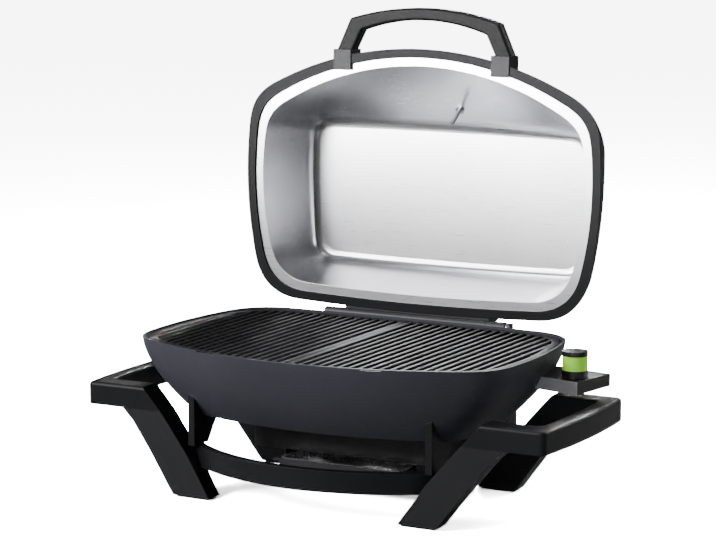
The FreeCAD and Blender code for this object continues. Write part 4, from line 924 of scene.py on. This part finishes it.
LAMPS = (
    Lamp("front_lamp", (-0.68, -1.0, 0.8), (0.0, 0.25, 0.63), 1.3, 0.5, 4.6, 19.0),
    Lamp("key_lamp", (-1.5, -2.0, 1.3), (0.0, -0.1, 0.0), 1.4, 1.0, 26.0, 90.0),
    Lamp("box_lamp", (0.75, -2.2, 0.5), (0.31, -0.03, 0.17), 0.08, 0.08, 0.01, 5.0),
    Lamp("top_lamp", (0.1, 0.1, 2.4), (0.0, 0.0, 0.3), 1.6, 1.2, 28.0),
    Lamp("rear_lamp", (1.5, 1.6, 1.5), (0.2, 0.0, 0.2), 1.0, 0.8, 26.0),
    Lamp("back_lamp", (-0.5, 2.6, 2.2), (-0.06, 0.25, 0.52), 0.5, 0.3, 3.6, 9.0),
)

# Black screens that only reflections show: their names and the corners of each.
FLAGS = (
    ("right_flag", (1.3, -1.6, 0.0), (1.3, -1.6, 1.6), (1.3, 0.6, 1.6), (1.3, 0.6, 0.0)),
    ("floor_flag", (-1.6, -1.3, 0.01), (0.1, -1.3, 0.01), (0.1, -0.4, 0.01), (-1.6, -0.4, 0.01)),
)


@dataclass
class Studio:
    """The pale floor, the soft lights and the camera.

    Attributes:
        target: The point that the camera looks at, in metres.
        azimuth: The camera's turn to the right of the front, in degrees.
        elevation: Its rise, in degrees.
        distance: Its distance from the target, in metres.
        lens: Its focal length in millimetres, for a sensor 36 mm wide.
        sky: The strength of the surroundings.
        floor_reach: Half the floor's width, in metres.
        floor_lift: How bright the floor looks to the camera.
    """

    target: Vector = field(default_factory=lambda: Vector((-0.00293, -0.03262, 0.31505)))
    azimuth: float = 28.46
    elevation: float = 9.14
    distance: float = 3.96443
    lens: float = 141.54
    sky: float = 0.12
    floor_reach: float = 30.0
    floor_lift: float = 60.0

    def build(self) -> None:
        """Makes the floor, the lights and the camera."""
        self.floor()
        self.world()
        for lamp in LAMPS:
            self.lamp(lamp)
        for name, *corners in FLAGS:
            self.flag(name, corners)
        self.camera()

    def floor(self) -> None:
        """Makes the pale floor, which looks near white to the camera."""
        mesh = bmesh.new()
        bmesh.ops.create_grid(mesh, x_segments=2, y_segments=2, size=self.floor_reach)
        data = bpy.data.meshes.new("floor")
        mesh.to_mesh(data)
        mesh.free()
        finish = Finish("pale_floor", (0.4, 0.4, 0.4), (0.38, 0.38, 0.38), (0.75, 0.85), scale=300.0,
                        relief=0.00001, patches=2.0, wear=0.0)
        material = finish.build()
        graph = Graph(material.node_tree)
        shader = material.node_tree.nodes["Principled BSDF"]
        output = material.node_tree.nodes["Material Output"]
        bright = graph.add("ShaderNodeBsdfDiffuse", {"Color": (*[self.floor_lift] * 3, 1.0)})
        seen = graph.add("ShaderNodeLightPath").outputs["Is Camera Ray"]
        mixed = graph.add("ShaderNodeMixShader", {0: seen, 1: shader.outputs[0], 2: bright.outputs[0]})
        graph.tree.links.new(mixed.outputs[0], output.inputs["Surface"])
        data.materials.append(material)
        self.stand("floor", data)

    @staticmethod
    def stand(name: str, data: bpy.types.Mesh) -> bpy.types.Object:
        """Puts a mesh in the studio as a part of the stage, and returns its object."""
        thing = bpy.data.objects.new(name, data)
        bpy.context.scene.collection.objects.link(thing)
        return thing

    def world(self) -> None:
        """Makes the white surroundings."""
        world = bpy.data.worlds.new("white_room")
        world.use_nodes = True
        sky = world.node_tree.nodes["Background"]
        sky.inputs["Color"].default_value = (1.0, 1.0, 1.0, 1.0)
        sky.inputs["Strength"].default_value = self.sky
        bpy.context.scene.world = world

    def lamp(self, lamp: Lamp) -> None:
        """Makes a soft lamp.

        Args:
            lamp: Its place, aim, size and power.
        """
        data = bpy.data.lights.new(lamp.name, "AREA")
        data.shape = "RECTANGLE"
        data.size = lamp.width
        data.size_y = lamp.height
        data.energy = lamp.power
        data.spread = math.radians(lamp.spread)
        thing = bpy.data.objects.new(lamp.name, data)
        way = Vector(lamp.aim) - Vector(lamp.place)
        turn = way.to_track_quat("-Z", "Y").to_matrix().to_4x4()
        thing.matrix_world = Matrix.Translation(lamp.place) @ turn
        bpy.context.scene.collection.objects.link(thing)

    def flag(self, name: str, corners: list[Colour]) -> None:
        """Makes a black screen that only reflections show.

        Args:
            name: Its name.
            corners: Its corners.
        """
        mesh = bmesh.new()
        mesh.faces.new([mesh.verts.new(corner) for corner in corners])
        data = bpy.data.meshes.new(name)
        mesh.to_mesh(data)
        mesh.free()
        cloth = Finish("black_cloth", (0.01, 0.01, 0.01), (0.012, 0.012, 0.012), (0.9, 1.0), wear=0.0)
        data.materials.append(cloth.build())
        thing = self.stand(name, data)
        thing.visible_camera = False
        thing.visible_diffuse = False
        thing.visible_shadow = False

    def camera(self) -> None:
        """Makes the camera."""
        turn = math.radians(self.azimuth)
        rise = math.radians(self.elevation)
        away = Vector((math.sin(turn) * math.cos(rise), -math.cos(turn) * math.cos(rise), math.sin(rise)))
        data = bpy.data.cameras.new("camera")
        data.lens = self.lens
        data.sensor_width = 36.0
        data.clip_end = 100.0
        thing = bpy.data.objects.new("camera", data)
        place = self.target + away * self.distance
        thing.matrix_world = Matrix.Translation(place) @ (-away).to_track_quat("-Z", "Y").to_matrix().to_4x4()
        bpy.context.scene.collection.objects.link(thing)
        bpy.context.scene.camera = thing


def main() -> None:
    """Builds the studio, dresses the nodes and adds the pieces."""
    logging.basicConfig(level=logging.INFO, format="%(message)s")
    Studio().build()
    wardrobe = Wardrobe()
    wardrobe.dress_nodes()
    for assembly in (Fasteners(), CookingGrids(), FoilPan(), Marks()):
        assembly.build(wardrobe)


if __name__ == "__main__":
    main()
